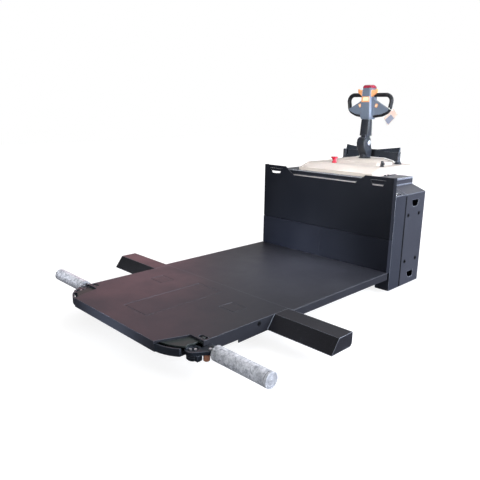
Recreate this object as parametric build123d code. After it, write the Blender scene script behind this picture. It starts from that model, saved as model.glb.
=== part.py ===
from build123d import *
import math
import os

os.makedirs("parts", exist_ok=True)

# Electric vehicle mover: a low deck that goes under a car between its wheels, two swing arms with
# rollers that close behind the tyres, and a power unit with a tiller at the rear.
# Millimetres, +Z up, floor at z = 0. The origin lies on the floor under the middle of the overall
# length. While the pieces are made, y is a station: the distance behind the deck's front edge.

# Heights above the floor
deck_top = 150.0
panel_top = 734.0
panel_seam_z = 357.0
hood_seat_z = 706.0
hood_lip_z = 728.0
hood_top_z = 759.0
crown_top_z = 790.0
tower_foot_z = 21.0
tower_edge_z = 620.0
tower_ridge_z = 658.0

# Stations along the length
notch_end_y = 160.0
arm_front_y = 613.0
deck_seam_y = 716.0
panel_y = 1620.0
lower_proud = 2.0
deck_end_y = panel_y - lower_proud
mast_y = panel_y + 34.0
mast_seam_y = mast_y + 127.0
box_front_y = panel_y + 80.0
box_rear_y = box_front_y + 328.0
hood_front_y = box_front_y + 39.0
hood_shoulder_y = hood_front_y + 96.0
steer_y = box_rear_y + 84.0
rear_end_y = steer_y + 178.0

# Half widths
section_half = 500.0
front_half = section_half - 146.0
notch_half = section_half - 91.0
arm_tip_x = section_half + 381.0
rear_half = section_half + 30.0
panel_half = rear_half - 7.5
tower_half = panel_half + 2.5
box_half = tower_half - 96.0
hood_half = box_half - 129.0

# Plates and running clearances
deck_plate = 10.0
skirt = 6.0
sheet = 5.0
belly = 4.0
seam_gap = 3.0
tower_gap = 8.0
pin_gap = 0.1
side_gap = 1.0
turn_gap = 0.5
swing_gap = 6.0


def block(x0, x1, y0, y1, z0, z1):
    """Box between two corners."""
    solid = Box(x1 - x0, y1 - y0, z1 - z0, align=(Align.MIN, Align.MIN, Align.MIN))
    return Pos(x0, y0, z0) * solid


def plan(points, z0, z1):
    """Outline of (x, y) points, extruded upwards."""
    return Pos(0, 0, z0) * extrude(make_face(Polyline(*points, close=True)), z1 - z0)


def side_face(points):
    """Face of (y, z) points in the plane x = 0."""
    return Plane.YZ * make_face(Polyline(*points, close=True))


def side(points, x0, x1):
    """Outline of (y, z) points, extruded across the machine."""
    return Pos(x0, 0, 0) * extrude(side_face(points), x1 - x0, dir=(1, 0, 0))


def front(points, y0, y1):
    """Outline of (x, z) points, extruded along the machine."""
    face = Plane.XZ * make_face(Polyline(*points, close=True))
    return Pos(0, y0, 0) * extrude(face, y1 - y0, dir=(0, 1, 0))


def drum(x, y, z0, z1, radius):
    """Upright cylinder."""
    return Pos(x, y, z0) * Cylinder(radius, z1 - z0, align=(Align.CENTER, Align.CENTER, Align.MIN))


def axle(x0, x1, y, z, radius):
    """Cylinder across the machine."""
    solid = Cylinder(radius, x1 - x0, align=(Align.CENTER, Align.CENTER, Align.MIN))
    return Pos(x0, y, z) * Rot(0, 90, 0) * solid


def turned(x, y, z, line):
    """Solid turned round an upright axis, from (radius, height) points listed upwards."""
    outline = [(0, line[0][1])] + line + [(0, line[-1][1])]
    face = Plane.XZ * make_face(Polyline(*outline, close=True))
    return Pos(x, y, z) * revolve(face, Axis.Z)


def both(shape):
    """The shape and its mirror image on the other side."""
    return [shape, mirror(shape, about=Plane.YZ)]


nodes = {}


def keep(name, *shapes):
    """Store the solids of one piece."""
    nodes[name] = list(shapes)


# Front deck section: top plate, front wall and side skirts
front_depth = 48.5
skirt_step_y = 370.0
skirt_shallow = 60.0
skirt_deep = 76.0
arm_depth = 69.0
lash_y = 505.0
lash_drop = 21.0
lash_r = 7.0

# Inset access covers in the deck
hatch_plate = 5.0
hatch_ledge = 12.0
centre_hatch = (0.0, 385.0, 190.0, 486.0)
wheel_hatch = (301.0, 522.0, 102.0, 84.0)


def hatch_box(row, grow, z0, z1):
    """Rectangular block over a hatch given as centre x, centre y, width and length."""
    x, y, width, length = row
    half_w = width / 2 + grow
    half_l = length / 2 + grow
    return block(x - half_w, x + half_w, y - half_l, y + half_l, z0, z1)


# Swing arm pivots and the corner trays that carry them
pivot_x = section_half - 8.0
pivot_y = 106.0
pivot_pin_r = 15.0
hub_r = 36.0
ear_r = 30.0
tray_centre = (section_half - 166.0, 225.0)
tray_r = 221.0
sector_r = 195.0
tray_plate = 6.0
tray_rim_depth = 12.0
sector_plate = 8.0
sector_notch_r = 28.0
tray_rear_y = 226.0
tray_inner_x = front_half
tray_edge_x = section_half - 30.0
peg_hole = (section_half - 33.0, 185.0)
peg_r = 9.0
peg_slot = (50.0, 26.0)
tray_post_y = 60.0
ear_root = 40.0
tray_low = deck_top - front_depth
ear_z0 = tray_low
ear_z1 = tray_low + 9.0

# Roller and its arm
roller_y = 175.0
roller_z = 113.0
roller_r = 35.0
roller_wall = 5.0
roller_x0 = section_half + 66.0
roller_x1 = arm_tip_x - 1.0
roller_axle_r = 14.0
roller_cap = 10.0
arm_x0 = section_half + 8.0
holder_x1 = roller_x0 - 4.0
holder_x0 = holder_x1 - 30.0
holder_r = 24.0
arm_top = deck_top - 22.0
arm_low = deck_top - 68.0
arm_z0 = ear_z1 + side_gap
cap_z = arm_top - 6.0
lug_r = 30.0
lug_bevel = 6.0
bush_x = pivot_x + 42.0
bush_y = pivot_y + 40.0
bush_r = 14.0
bush_low = deck_top - 74.0
bush_bevel = 2.0


def slot_hole(x, y, length, width, z0, z1):
    """Upright oval hole, long across the machine."""
    return Pos(x, y, z0) * extrude(SlotOverall(length, width), z1 - z0)


def front_deck():
    outline = [
        (-front_half, 0), (front_half, 0), (notch_half, notch_end_y), (section_half, notch_end_y),
        (section_half, deck_seam_y), (-section_half, deck_seam_y), (-section_half, notch_end_y),
        (-notch_half, notch_end_y),
    ]
    body = plan(outline, deck_top - deck_plate, deck_top)
    body += block(-front_half, front_half, 0, skirt, deck_top - front_depth, deck_top - deck_plate)
    skirt_line = [
        (notch_end_y, deck_top - deck_plate), (deck_seam_y, deck_top - deck_plate),
        (deck_seam_y, deck_top - arm_depth), (skirt_step_y, deck_top - skirt_deep),
        (skirt_step_y, deck_top - skirt_shallow), (notch_end_y, deck_top - skirt_shallow),
    ]
    lash_hole = axle(section_half - 2 * skirt, section_half + skirt, lash_y, deck_top - lash_drop, lash_r)
    for plate in both(side(skirt_line, section_half - skirt, section_half) - lash_hole):
        body += plate
    x, y, width, length = wheel_hatch
    for row in (centre_hatch, wheel_hatch, (-x, y, width, length)):
        body -= hatch_box(row, seam_gap, deck_top - hatch_plate, deck_top + 1)
        body -= hatch_box(row, -hatch_ledge, deck_top - deck_plate - 1, deck_top + 1)
    for hole in both(slot_hole(*peg_hole, *peg_slot, deck_top - deck_plate - 1, deck_top + 1)):
        body -= hole
    return body


def hatches():
    x, y, width, length = wheel_hatch
    rows = (centre_hatch, wheel_hatch, (-x, y, width, length))
    return [hatch_box(row, 0, deck_top - hatch_plate, deck_top) for row in rows]


def disc_part(radius, z0, z1):
    """Part of the disc round the tray's centre that lies in the corner pocket."""
    cx, cy = tray_centre
    disc = drum(cx, cy, z0, z1, radius)
    pocket = block(tray_inner_x, tray_edge_x, -skirt, notch_end_y, z0, z1)
    pocket += block(tray_inner_x, section_half - skirt, notch_end_y, tray_rear_y, z0, z1)
    return disc & pocket


def corner_tray():
    rim_top = deck_top - tray_rim_depth
    floor = disc_part(tray_r, ear_z0, ear_z0 + tray_plate)
    ear = drum(pivot_x, pivot_y, ear_z0, ear_z1, ear_r)
    neck = ear_r - swing_gap
    ear += block(tray_edge_x - ear_root, pivot_x, pivot_y - neck, pivot_y + neck, ear_z0, ear_z1)
    rim = disc_part(tray_r, ear_z0, rim_top) - disc_part(tray_r - tray_plate, ear_z0 - 1, rim_top + 1)
    rim -= block(0, section_half, notch_end_y - skirt, tray_rear_y + 1, ear_z0 - 1, rim_top + 1)
    rim -= drum(pivot_x, pivot_y, ear_z0 - 1, rim_top + 1, hub_r + 2 * swing_gap)
    seat = deck_top - deck_plate - sector_plate
    post = block(tray_inner_x, tray_inner_x + 2 * skirt, tray_post_y, tray_rear_y, ear_z0, seat)
    back = block(tray_inner_x, section_half - skirt, tray_rear_y - skirt, tray_rear_y, ear_z0, seat)
    body = floor + ear + rim + post + back
    return body - drum(pivot_x, pivot_y, 0, deck_top, pivot_pin_r + pin_gap)


def sector_plate_solid():
    """Plate over the tray, with the arm's locking peg."""
    top = deck_top - deck_plate
    plate = disc_part(sector_r, top - sector_plate, top)
    plate -= drum(pivot_x, pivot_y, 0, deck_top, sector_notch_r)
    return plate + drum(*peg_hole, top - 1, deck_top - 2, peg_r)


# Cross arms: the fixed stops that the tyres rest against
arm_wall = 6.0
arm_slope = 52.0
arm_corner_r = 22.0
beam_lean = 12.0
beam_wall_front = 16.0


def arm_profile(inset):
    """Section of the cross arm in the (y, z) plane, set in by the wall."""
    top = deck_top - inset
    low = deck_top - arm_depth + inset
    rear = deck_seam_y - inset
    lean = arm_slope / arm_depth
    shift = inset * math.hypot(1, lean)
    top_front = arm_front_y + shift - lean * inset
    low_front = arm_front_y - arm_slope + shift + lean * inset
    face = side_face([(low_front, low), (rear, low), (rear, top), (top_front, top)])
    corner = face.vertices().sort_by(Axis.Y)[-2:].sort_by(Axis.Z)[0]
    return fillet(corner, arm_corner_r - inset)


def cross_arm():
    reach = arm_tip_x - section_half
    outer = Pos(section_half, 0, 0) * extrude(arm_profile(0), reach, dir=(1, 0, 0))
    inner = Pos(section_half - 1, 0, 0) * extrude(arm_profile(arm_wall), reach + 1 - arm_wall, dir=(1, 0, 0))
    return outer - inner


def cross_beam():
    half = section_half - skirt
    low = deck_top - arm_depth
    top = deck_top - front_depth - belly
    front_y = arm_front_y - arm_slope
    line = [(front_y, low), (deck_seam_y, low), (deck_seam_y, top), (front_y + beam_lean, top)]
    outer = side(line, -half, half)
    wall_y = front_y + beam_wall_front
    inner = block(-half - 1, half + 1, wall_y, deck_seam_y - skirt, low + arm_wall, top + 1)
    return outer - inner


# Rear deck section
rear_depth = 45.0
rear_bevel = 3.0


def rear_deck():
    body = block(-rear_half, rear_half, deck_seam_y, deck_end_y, deck_top - rear_depth, deck_top)
    half = rear_half - skirt
    body -= block(-half, half, deck_seam_y + skirt, deck_end_y - skirt, 0, deck_top - deck_plate)
    long_edges = body.edges().filter_by(Axis.Y).group_by(Axis.Z)[-1]
    return chamfer(long_edges, rear_bevel)


# Load wheels under the front deck, below the two small hatches
load_wheel_r = 42.0
load_wheel_w = 80.0
load_axle_r = 10.0
load_rim_r = 36.0
load_cheek = 8.0
load_cheek_half = 30.0
axle_end = 2.0
load_x = wheel_hatch[0]
load_y = wheel_hatch[1]


def belly_plates():
    low = deck_top - front_depth
    half = section_half - skirt
    outline = [
        (-tray_inner_x, skirt), (tray_inner_x, skirt), (tray_inner_x, tray_rear_y), (half, tray_rear_y),
        (half, deck_seam_y), (-half, deck_seam_y), (-half, tray_rear_y), (-tray_inner_x, tray_rear_y),
    ]
    fore = plan(outline, low - belly, low)
    well_x = load_wheel_w / 2 + load_cheek + 2 * swing_gap
    well_y = load_wheel_r + swing_gap
    for well in both(block(load_x - well_x, load_x + well_x, load_y - well_y, load_y + well_y, 0, deck_top)):
        fore -= well
    half = rear_half - skirt
    aft_low = deck_top - rear_depth
    aft = block(-half, half, deck_seam_y + skirt, deck_end_y - skirt, aft_low, aft_low + belly)
    return [fore, aft]


def load_fork():
    half = load_cheek_half
    body = None
    for sign in (-1, 1):
        inner = load_wheel_w / 2 + side_gap
        x0, x1 = sorted((load_x + sign * inner, load_x + sign * (inner + load_cheek)))
        cheek = block(x0, x1, load_y - half, load_y + half, load_wheel_r, deck_top - deck_plate)
        cheek += axle(x0, x1, load_y, load_wheel_r, half)
        body = cheek if body is None else body + cheek
    reach = load_wheel_w / 2 + side_gap + load_cheek + axle_end
    return body + axle(load_x - reach, load_x + reach, load_y, load_wheel_r, load_axle_r)


# Plain wheels: recess in the sides, boss radius in bores, tread edge as a part of the radius
rim_recess = 4.0
boss_ratio = 1.8
tread_edge_ratio = 1 / 12


def plain_wheel(x, y, z, radius, width, bore_r, rim_r):
    """Wheel with a solid tread and recessed sides, on an axle across the machine."""
    body = axle(x - width / 2, x + width / 2, y, z, radius)
    body = fillet(body.edges().filter_by(GeomType.CIRCLE), radius * tread_edge_ratio)
    for sign in (-1, 1):
        x0, x1 = sorted((x + sign * (width / 2 - rim_recess), x + sign * (width / 2 + 1)))
        ring = axle(x0, x1, y, z, rim_r)
        ring -= axle(x0 - 1, x1 + 1, y, z, bore_r * boss_ratio)
        body -= ring
    return body - axle(x - width, x + width, y, z, bore_r)


# Swing arm, roller and pins
web_angle = math.radians(40)
web_rear = 27.0
yoke_half = 14.0
hub_recess_r = hub_r - 9.0
cap_plate = 4.0
lock_bolt = (holder_x1 - 14.0, roller_y - 19.0)
lock_bolt_r = 4.0
bolt_seat_r = 2 * lock_bolt_r + 1.0
bolt_head_h = 6.0
nut_r = 6.5
nut_h = 7.0
nut_reach = 7.5
roller_dish = 3.0
roller_hub_l = 40.0
roller_hub_wall = 6.0


def swing_arm():
    """Clevis round the tray's ear, a flat web, and the ring that holds the roller's axle."""
    web = [
        (pivot_x, pivot_y),
        (pivot_x + hub_r * math.cos(web_angle), pivot_y - hub_r * math.sin(web_angle)),
        (holder_x1, roller_y - web_rear), (holder_x1, roller_y + holder_r),
        (arm_x0, roller_y + holder_r), (arm_x0, pivot_y + yoke_half),
    ]
    plate = drum(pivot_x, pivot_y, arm_z0, arm_top, hub_r) + plan(web, arm_z0, arm_top)
    lug = drum(pivot_x, pivot_y, arm_low, arm_z0, lug_r)
    yoke_x = pivot_x + ear_r + yoke_half
    lug += block(pivot_x, yoke_x, pivot_y - yoke_half, pivot_y + yoke_half, arm_low, arm_z0)
    lug = chamfer(lug.edges().group_by(Axis.Z)[0], lug_bevel)
    lug -= drum(pivot_x, pivot_y, ear_z0 - side_gap, arm_z0, ear_r + 1.5 * side_gap)
    ring = axle(holder_x0, holder_x1, roller_y, roller_z, holder_r)
    body = plate + lug + ring
    body -= drum(pivot_x, pivot_y, cap_z, arm_top + 1, hub_recess_r)
    body -= drum(pivot_x, pivot_y, 0, cap_z - cap_plate, pivot_pin_r)
    body -= drum(bush_x, bush_y, 0, arm_z0, bush_r + pin_gap)
    body -= drum(*lock_bolt, 0, deck_top, lock_bolt_r)
    body -= drum(*lock_bolt, arm_top, arm_top + holder_r, bolt_seat_r)
    return body - axle(arm_x0 - 1, holder_x1 + 1, roller_y, roller_z, roller_axle_r)


def arm_pins():
    """Pivot pin with the two cap nuts, the roller's axle and its lock bolt."""
    pin = drum(pivot_x, pivot_y, arm_low, cap_z - cap_plate, pivot_pin_r)
    shaft = axle(holder_x0, roller_x1 - roller_cap - axle_end, roller_y, roller_z, roller_axle_r)
    bolt = drum(*lock_bolt, arm_z0, arm_top, lock_bolt_r)
    bolt += Pos(*lock_bolt, arm_top) * extrude(RegularPolygon(2 * lock_bolt_r, 6), bolt_head_h)
    nuts = []
    for sign in (-1, 1):
        nut = extrude(RegularPolygon(nut_r, 6), nut_h)
        nuts.append(Pos(pivot_x + sign * nut_reach, pivot_y + sign * nut_reach, cap_z) * nut)
    return [pin, shaft, bolt] + nuts


def roller():
    body = axle(roller_x0, roller_x1, roller_y, roller_z, roller_r)
    hollow = roller_r - roller_wall
    body -= axle(roller_x0 + roller_cap, roller_x1 - roller_cap, roller_y, roller_z, hollow)
    body -= axle(roller_x1 - roller_dish, roller_x1 + 1, roller_y, roller_z, hollow)
    bore = roller_axle_r + pin_gap
    hub_x1 = roller_x0 + roller_cap + roller_hub_l
    hub = axle(roller_x0 + roller_cap, hub_x1, roller_y, roller_z, roller_axle_r + roller_hub_wall)
    return body + hub - axle(roller_x0 - 1, hub_x1 + 1, roller_y, roller_z, bore)


def thrust_bush():
    body = drum(bush_x, bush_y, bush_low, arm_z0, bush_r)
    return chamfer(body.edges().group_by(Axis.Z)[0], bush_bevel)


# Back panel: a lower half in two plates and a folded upper sheet with hand holes
ear_inner_x = panel_half - 197.5
recess_half = ear_inner_x - 73.0
recess_z = panel_top - 55.0
# Corners of a hand hole, from the panel's side and its top
hand_hole = [(-162.5, -20), (-52.5, -20), (-73.5, -56), (-146.5, -56)]
tie_bar_depth = 14.0
tie_bar_z = recess_z + 12.0
tie_bar_h = 18.0
shelf_top = recess_z - 4.0


def lower_panels():
    x0 = side_gap / 2
    low = deck_top - deck_plate
    top = panel_seam_z - seam_gap
    plate = block(x0, panel_half, deck_end_y, deck_end_y + skirt, low, top)
    plate += block(panel_half - skirt, panel_half, deck_end_y, mast_y, low, top)
    return both(plate)


def upper_panel():
    low = panel_seam_z
    outline = [
        (-panel_half, low), (panel_half, low), (panel_half, panel_top), (ear_inner_x, panel_top),
        (recess_half, recess_z), (-recess_half, recess_z), (-ear_inner_x, panel_top),
        (-panel_half, panel_top),
    ]
    body = front(outline, panel_y, panel_y + skirt)
    for wing in both(block(panel_half - skirt, panel_half, panel_y, mast_y, low, panel_top)):
        body += wing
    hole = [(panel_half + x, panel_top + z) for x, z in hand_hole]
    for cut in both(front(hole, panel_y - 1, panel_y + skirt + 1)):
        body -= cut
    return body


def tie_bar():
    half = panel_half - skirt
    return block(-half, half, mast_y - tie_bar_depth, mast_y, tie_bar_z, tie_bar_z + tie_bar_h)


def panel_shelf():
    return block(-box_half, box_half, panel_y + skirt, box_front_y, shelf_top - sheet, shelf_top)


beam_x = box_half - 59.0
beam_w = 80.0


def link_beam():
    """Beam that ties the rear deck to the power unit below the back panel."""
    top = deck_top - deck_plate
    low = deck_top - rear_depth
    x0 = beam_x - beam_w / 2
    x1 = beam_x + beam_w / 2
    outer = block(x0, x1, deck_end_y, box_front_y, low, top)
    return outer - block(x0 + skirt, x1 - skirt, deck_end_y - 1, box_front_y + 1, low + skirt, top - skirt)


# Masts and side boxes beside the power unit
# Side holes: a height, and corners from the box's rear and that height
tower_holes = [
    (tower_edge_z, [(-169, -41), (-81, -43), (-88, -79), (-98, -85), (-142, -85), (-157, -78)]),
    (tower_foot_z, [(-153, 82), (-69, 83), (-74, 48), (-81, 40), (-124, 39), (-143, 52)]),
]
# Window in the mast's top: its length at the outer wall and at the inner one, and its depth
window_outer = 84.0
window_inner = 50.0
window_depth = 40.0
guide_roller_r = 26.0
guide_pin_r = 6.0
guide_half_w = 14.0
guide_roller_y = mast_y + 36.0
guide_roller_x = tower_half - 22.0
guide_roller_z = tower_edge_z - 8.0


def tower(y0, y1):
    """Folded sheet box, open towards the power unit, with a sloping top."""
    outer = [
        (box_half, tower_foot_z), (tower_half, tower_foot_z),
        (tower_half, tower_edge_z), (box_half, tower_ridge_z),
    ]
    inner = [
        (box_half - 1, tower_foot_z + sheet), (tower_half - sheet, tower_foot_z + sheet),
        (tower_half - sheet, tower_edge_z - sheet / 2), (box_half - 1, tower_ridge_z - sheet),
    ]
    return front(outer, y0, y1) - front(inner, y0 + sheet, y1 - sheet)


def mast():
    body = tower(mast_y, mast_seam_y)
    x0 = box_half + 1
    x1 = tower_half - sheet
    y0 = mast_y + sheet
    window = [(x0, y0), (x1, y0), (x1, y0 + window_outer), (x0, y0 + window_inner)]
    return body - plan(window, tower_edge_z - window_depth, tower_ridge_z + 1)


def side_box():
    body = tower(mast_seam_y + tower_gap, box_rear_y)
    for base_z, hole in tower_holes:
        points = [(box_rear_y + y, base_z + z) for y, z in hole]
        body -= side(points, tower_half - 2 * sheet, tower_half + 1)
    return body


def guide_roller():
    pin = axle(box_half, tower_half - sheet, guide_roller_y, guide_roller_z, guide_pin_r)
    x0 = guide_roller_x - guide_half_w
    x1 = guide_roller_x + guide_half_w
    wheel = axle(x0, x1, guide_roller_y, guide_roller_z, guide_roller_r)
    return wheel + pin


# Power unit: chassis box with the battery, drive skirt and frame plates
box_wall = 6.0
arch_half = 145.0
arch_y = steer_y - 128.0
arch_z = 305.0
skirt_low_z = 60.0
rear_hood_low_z = 650.0
rear_corner_r = 60.0
frame_low_z = 128.0
frame_top_z = 262.0
frame_plate = 10.0
wheel_hole_r = 132.0
turntable_r = 70.0
fork_hole_r = 76.0
battery_half = box_half - 99.0
battery_gap = 20.0
battery_top_z = 480.0


def chassis_box():
    body = block(-box_half, box_half, box_front_y, box_rear_y, tower_foot_z, hood_seat_z)
    body -= block(
        -box_half + box_wall, box_half - box_wall, box_front_y + box_wall, box_rear_y - box_wall,
        tower_foot_z + box_wall, hood_seat_z - box_wall,
    )
    return body - block(-arch_half, arch_half, arch_y, box_rear_y + 1, 0, arch_z)


def battery():
    y0 = box_front_y + box_wall + battery_gap
    y1 = arch_y - battery_gap
    return block(-battery_half, battery_half, y0, y1, tower_foot_z + box_wall, battery_top_z)


def rounded_rear(inset, z0, z1):
    """Plan of the drive section, square in front and rounded at the rear corners."""
    half = hood_half - inset
    body = block(-half, half, box_rear_y, rear_end_y - inset, z0, z1)
    corners = body.edges().filter_by(Axis.Z).group_by(Axis.Y)[-1]
    return fillet(corners, rear_corner_r - inset)


def drive_skirt():
    body = rounded_rear(0, skirt_low_z, rear_hood_low_z) - rounded_rear(sheet, 0, rear_hood_low_z - sheet)
    return body - drum(0, steer_y, rear_hood_low_z - 2 * sheet, rear_hood_low_z + 1, fork_hole_r)


def frame_plates():
    lower = rounded_rear(sheet, frame_low_z, frame_low_z + frame_plate)
    lower -= drum(0, steer_y, 0, frame_top_z, wheel_hole_r)
    upper = rounded_rear(sheet, frame_top_z, frame_top_z + frame_plate)
    upper -= drum(0, steer_y, 0, motor_top_z, turntable_r + pin_gap)
    return [lower, upper]


# Hood: moulded cover over the power unit, split into a front and a rear half
hood_wall = 4.0
hood_rim = 20.0
# Seam between the hood's halves, from the chassis box's rear and the hood's top
hood_seam = [(12, -56), (3, -37), (-16, -21), (-41, -9), (-48, 3), (-48, 91)]
# Crown, from its foot up: half width, half width of the rear edge, height, and the distances of
# the front edge, the shoulder and the rear edge from the machine's rear end
crown_half = hood_half - 95.0
crown_rows = [
    (crown_half, crown_half - 40, hood_top_z, -345, -142, -40),
    (crown_half - 5, crown_half - 45, crown_top_z - 15, -305, -145, -58),
    (crown_half - 85, crown_half - 105, crown_top_z, -260, -150, -75),
]
crown_corner_r = 18.0
neck_shaft_r = 28.0
column_hole_r = neck_shaft_r + swing_gap
hood_edge_r = 10.0


def crown(inset):
    """Raised middle of the hood, a loft up through six-cornered outlines."""
    faces = []
    for half, rear_half_x, z, front_y, shoulder_y, back_y in crown_rows:
        y0 = rear_end_y + front_y + inset
        y1 = rear_end_y + shoulder_y - inset / 2
        y2 = rear_end_y + back_y - inset
        x1 = half - inset
        x2 = rear_half_x - inset
        face = make_face(Polyline((-x1, y0), (x1, y0), (x1, y1), (x2, y2), (-x2, y2), (-x1, y1), close=True))
        faces.append(Pos(0, 0, z - inset) * fillet(face.vertices(), crown_corner_r))
    return loft(faces, ruled=True)


def hood_form(inset):
    """Outside of the hood, or its inside when set in by the wall."""
    half = hood_half - inset
    front_y = hood_front_y + inset
    top = hood_top_z - inset
    outline = [
        (front_y, hood_seat_z), (front_y, hood_lip_z - inset / 2), (hood_shoulder_y + inset / 2, top),
        (rear_end_y - inset, top), (rear_end_y - inset, rear_hood_low_z),
        (box_rear_y + seam_gap, rear_hood_low_z), (box_rear_y + seam_gap, hood_seat_z),
    ]
    body = side(outline, -half, half)
    corners = body.edges().filter_by(Axis.Z).group_by(Axis.Y)[-1]
    body = fillet(corners, rear_corner_r - inset)
    rim = [edge for edge in body.edges() if edge.center().Z > hood_lip_z + 1]
    body = fillet(rim, hood_edge_r - inset)
    return body + crown(inset)


def hood_halves():
    half = hood_half - hood_rim
    mouth = block(-half, half, hood_front_y + hood_rim, box_rear_y, rear_hood_low_z, hood_seat_z + 1)
    shell = hood_form(0) - hood_form(hood_wall) - mouth
    shell -= drum(0, steer_y, hood_seat_z, crown_top_z + 1, column_hole_r)
    seam = [(box_rear_y + y, hood_top_z + z) for y, z in hood_seam]
    cuts = []
    for far_y, gap in ((box_front_y, 0), (rear_end_y + hood_rim, seam_gap)):
        line = [(y + gap, z) for y, z in seam]
        corners = [(far_y, skirt_low_z), (line[0][0], skirt_low_z)] + line + [(far_y, line[-1][1])]
        cuts.append(side(corners, -box_half, box_half))
    return shell & cuts[0], shell & cuts[1]


# Catches beside the hood: distances of a bar's ends and of two knobs from the box's rear
latch_bar = (-90.0, -18.0)
latch_knobs = (-149.0, -112.0)
latch_x = hood_half + 4.0
latch_w = 14.0
latch_h = 5.0
latch_knob = [(6, 0), (6, 9)]
# Radius and height points of the stop button and of the key switch
stop_place = (179.0 - hood_half, box_rear_y - 116.0)
stop_line = [(17, 0), (17, 8), (12, 8), (12, 24), (14, 24), (26, 38), (24, 38), (24, 42)]
key_place = (hood_half - 50.0, box_rear_y - 96.0)
key_line = [(15, 0), (15, 5), (11, 5), (11, 20)]
key_bow = (3.0, 12.0, 18.0)


def hood_latches():
    y0, y1 = latch_bar
    z = hood_seat_z
    parts = [block(latch_x, latch_x + latch_w, box_rear_y + y0, box_rear_y + y1, z, z + latch_h)]
    for y in latch_knobs:
        parts.append(turned(latch_x + latch_w / 2, box_rear_y + y, z, latch_knob))
    return parts


def stop_button():
    return turned(*stop_place, hood_top_z, stop_line)


def key_switch():
    x, y = key_place
    half_x, half_y, height = key_bow
    z = hood_top_z + key_line[-1][1]
    bow = block(x - half_x, x + half_x, y - half_y, y + half_y, z, z + height)
    return turned(x, y, hood_top_z, key_line) + bow


# Guard behind the tiller: a plate on two posts, with a folded fin along each half of its top
guard_y = rear_end_y - 80.0
guard_half = hood_half - 79.0
guard_flat = 40.0
guard_low = hood_top_z + 13.0
guard_edge = crown_top_z + 84.0
guard_mid = crown_top_z + 60.0
# Corners of the cut that clears the crown, from the side in: x and z
crown_notch = [
    (crown_half - 25, hood_top_z + 13),
    (crown_half - 29, crown_top_z - 11),
    (crown_half - 97, crown_top_z + 3.5),
]
fin_outer = 38.0
fin_inner = 10.0
fin_lean = 12.0
fin_edge = 3.0
post_x = guard_half + 2.0
post_y = guard_y - 20.0
post_r = 14.0
post_top = crown_top_z + 52.0
foot_r = 27.0
foot_h = 22.0
stay_x0 = post_x - 11.0
stay_x1 = post_x - 3.0
stay_low = guard_low + 8.0
stay_top = post_top - 44.0


def guard_plate():
    outline = [(-x, z) for x, z in crown_notch] + crown_notch[::-1] + [
        (guard_half, guard_low), (guard_half, guard_edge), (guard_flat, guard_mid),
        (-guard_flat, guard_mid), (-guard_half, guard_edge), (-guard_half, guard_low),
    ]
    return front(outline, guard_y, guard_y + skirt)


def guard_fin():
    """Wedge-shaped fin that leans forward from the plate's top edge."""
    ends = []
    for x, top, drop in ((guard_flat, guard_mid, fin_inner), (guard_half, guard_edge, fin_outer)):
        low = top - drop
        line = [(guard_y, top), (guard_y - fin_edge, top), (guard_y - fin_lean, low), (guard_y, low)]
        ends.append(Pos(x, 0, 0) * side_face(line))
    return loft(ends)


def guard():
    body = guard_plate()
    for fin in both(guard_fin()):
        body += fin
    return body


def guard_post():
    line = [(foot_r, 0), (post_r, foot_h), (post_r, post_top - hood_top_z)]
    stay = block(stay_x0, stay_x1, post_y, guard_y, stay_low, stay_top)
    return turned(post_x, post_y, hood_top_z, line) + stay


# Drive unit that turns under the tiller
drive_wheel_r = 115.0
drive_wheel_w = 76.0
drive_axle_r = 16.0
drive_rim_r = 80.0
fork_cheek = 12.0
fork_half = 45.0
fork_plate = 12.0
fork_side_gap = 3.0
fork_plate_r = 118.0
gearbox_r = 95.0
gearbox_h = 24.0
motor_r = 76.0
motor_body_z = 510.0
motor_top_z = 560.0
motor_neck_r = 34.0


def drive_fork():
    top = frame_top_z - turn_gap
    body = drum(0, steer_y, top - fork_plate, top, fork_plate_r)
    body += drum(0, steer_y, top, frame_top_z + frame_plate + turn_gap, turntable_r)
    inner = drive_wheel_w / 2 + fork_side_gap
    for sign in (-1, 1):
        x0, x1 = sorted((sign * inner, sign * (inner + fork_cheek)))
        body += block(x0, x1, steer_y - fork_half, steer_y + fork_half, drive_wheel_r, top - fork_plate / 2)
        body += axle(x0, x1, steer_y, drive_wheel_r, fork_half)
    reach = inner + fork_cheek
    return body + axle(-reach, reach, steer_y, drive_wheel_r, drive_axle_r)


def drive_motor():
    z0 = frame_top_z + frame_plate + turn_gap
    body = drum(0, steer_y, z0, z0 + gearbox_h, gearbox_r)
    body += drum(0, steer_y, z0 + gearbox_h, motor_body_z, motor_r)
    return body + drum(0, steer_y, motor_body_z, motor_top_z, motor_neck_r)


# Casters beside the drive wheel
caster_x = hood_half - 88.0
caster_y = rear_end_y - 95.0
caster_r = 42.0
caster_w = 34.0
caster_trail = 30.0
caster_axle_r = 8.0
caster_rim_r = 28.0
caster_cheek = 5.0
caster_side_gap = 2.0
caster_boss_r = 14.0
# Radius and height points of the caster's swivel head, from its lower race up
caster_head_h = 26.0
caster_head = [(26, 0), (26, 8), (30, 8), (30, 25.7)]


def caster_fork():
    wheel_y = caster_y + caster_trail
    top = frame_low_z
    body = turned(caster_x, caster_y, top - caster_head_h, caster_head)
    inner = caster_w / 2 + caster_side_gap
    for sign in (-1, 1):
        x0, x1 = sorted((caster_x + sign * inner, caster_x + sign * (inner + caster_cheek)))
        lug = [
            (caster_y - 22, top - 20), (caster_y + 26, top - 20),
            (wheel_y + caster_boss_r, caster_r), (wheel_y - caster_boss_r, caster_r - 6),
        ]
        body += side(lug, x0, x1) + axle(x0, x1, wheel_y, caster_r, caster_boss_r)
    reach = inner + caster_cheek + axle_end
    return body + axle(caster_x - reach, caster_x + reach, wheel_y, caster_r, caster_axle_r)


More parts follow.
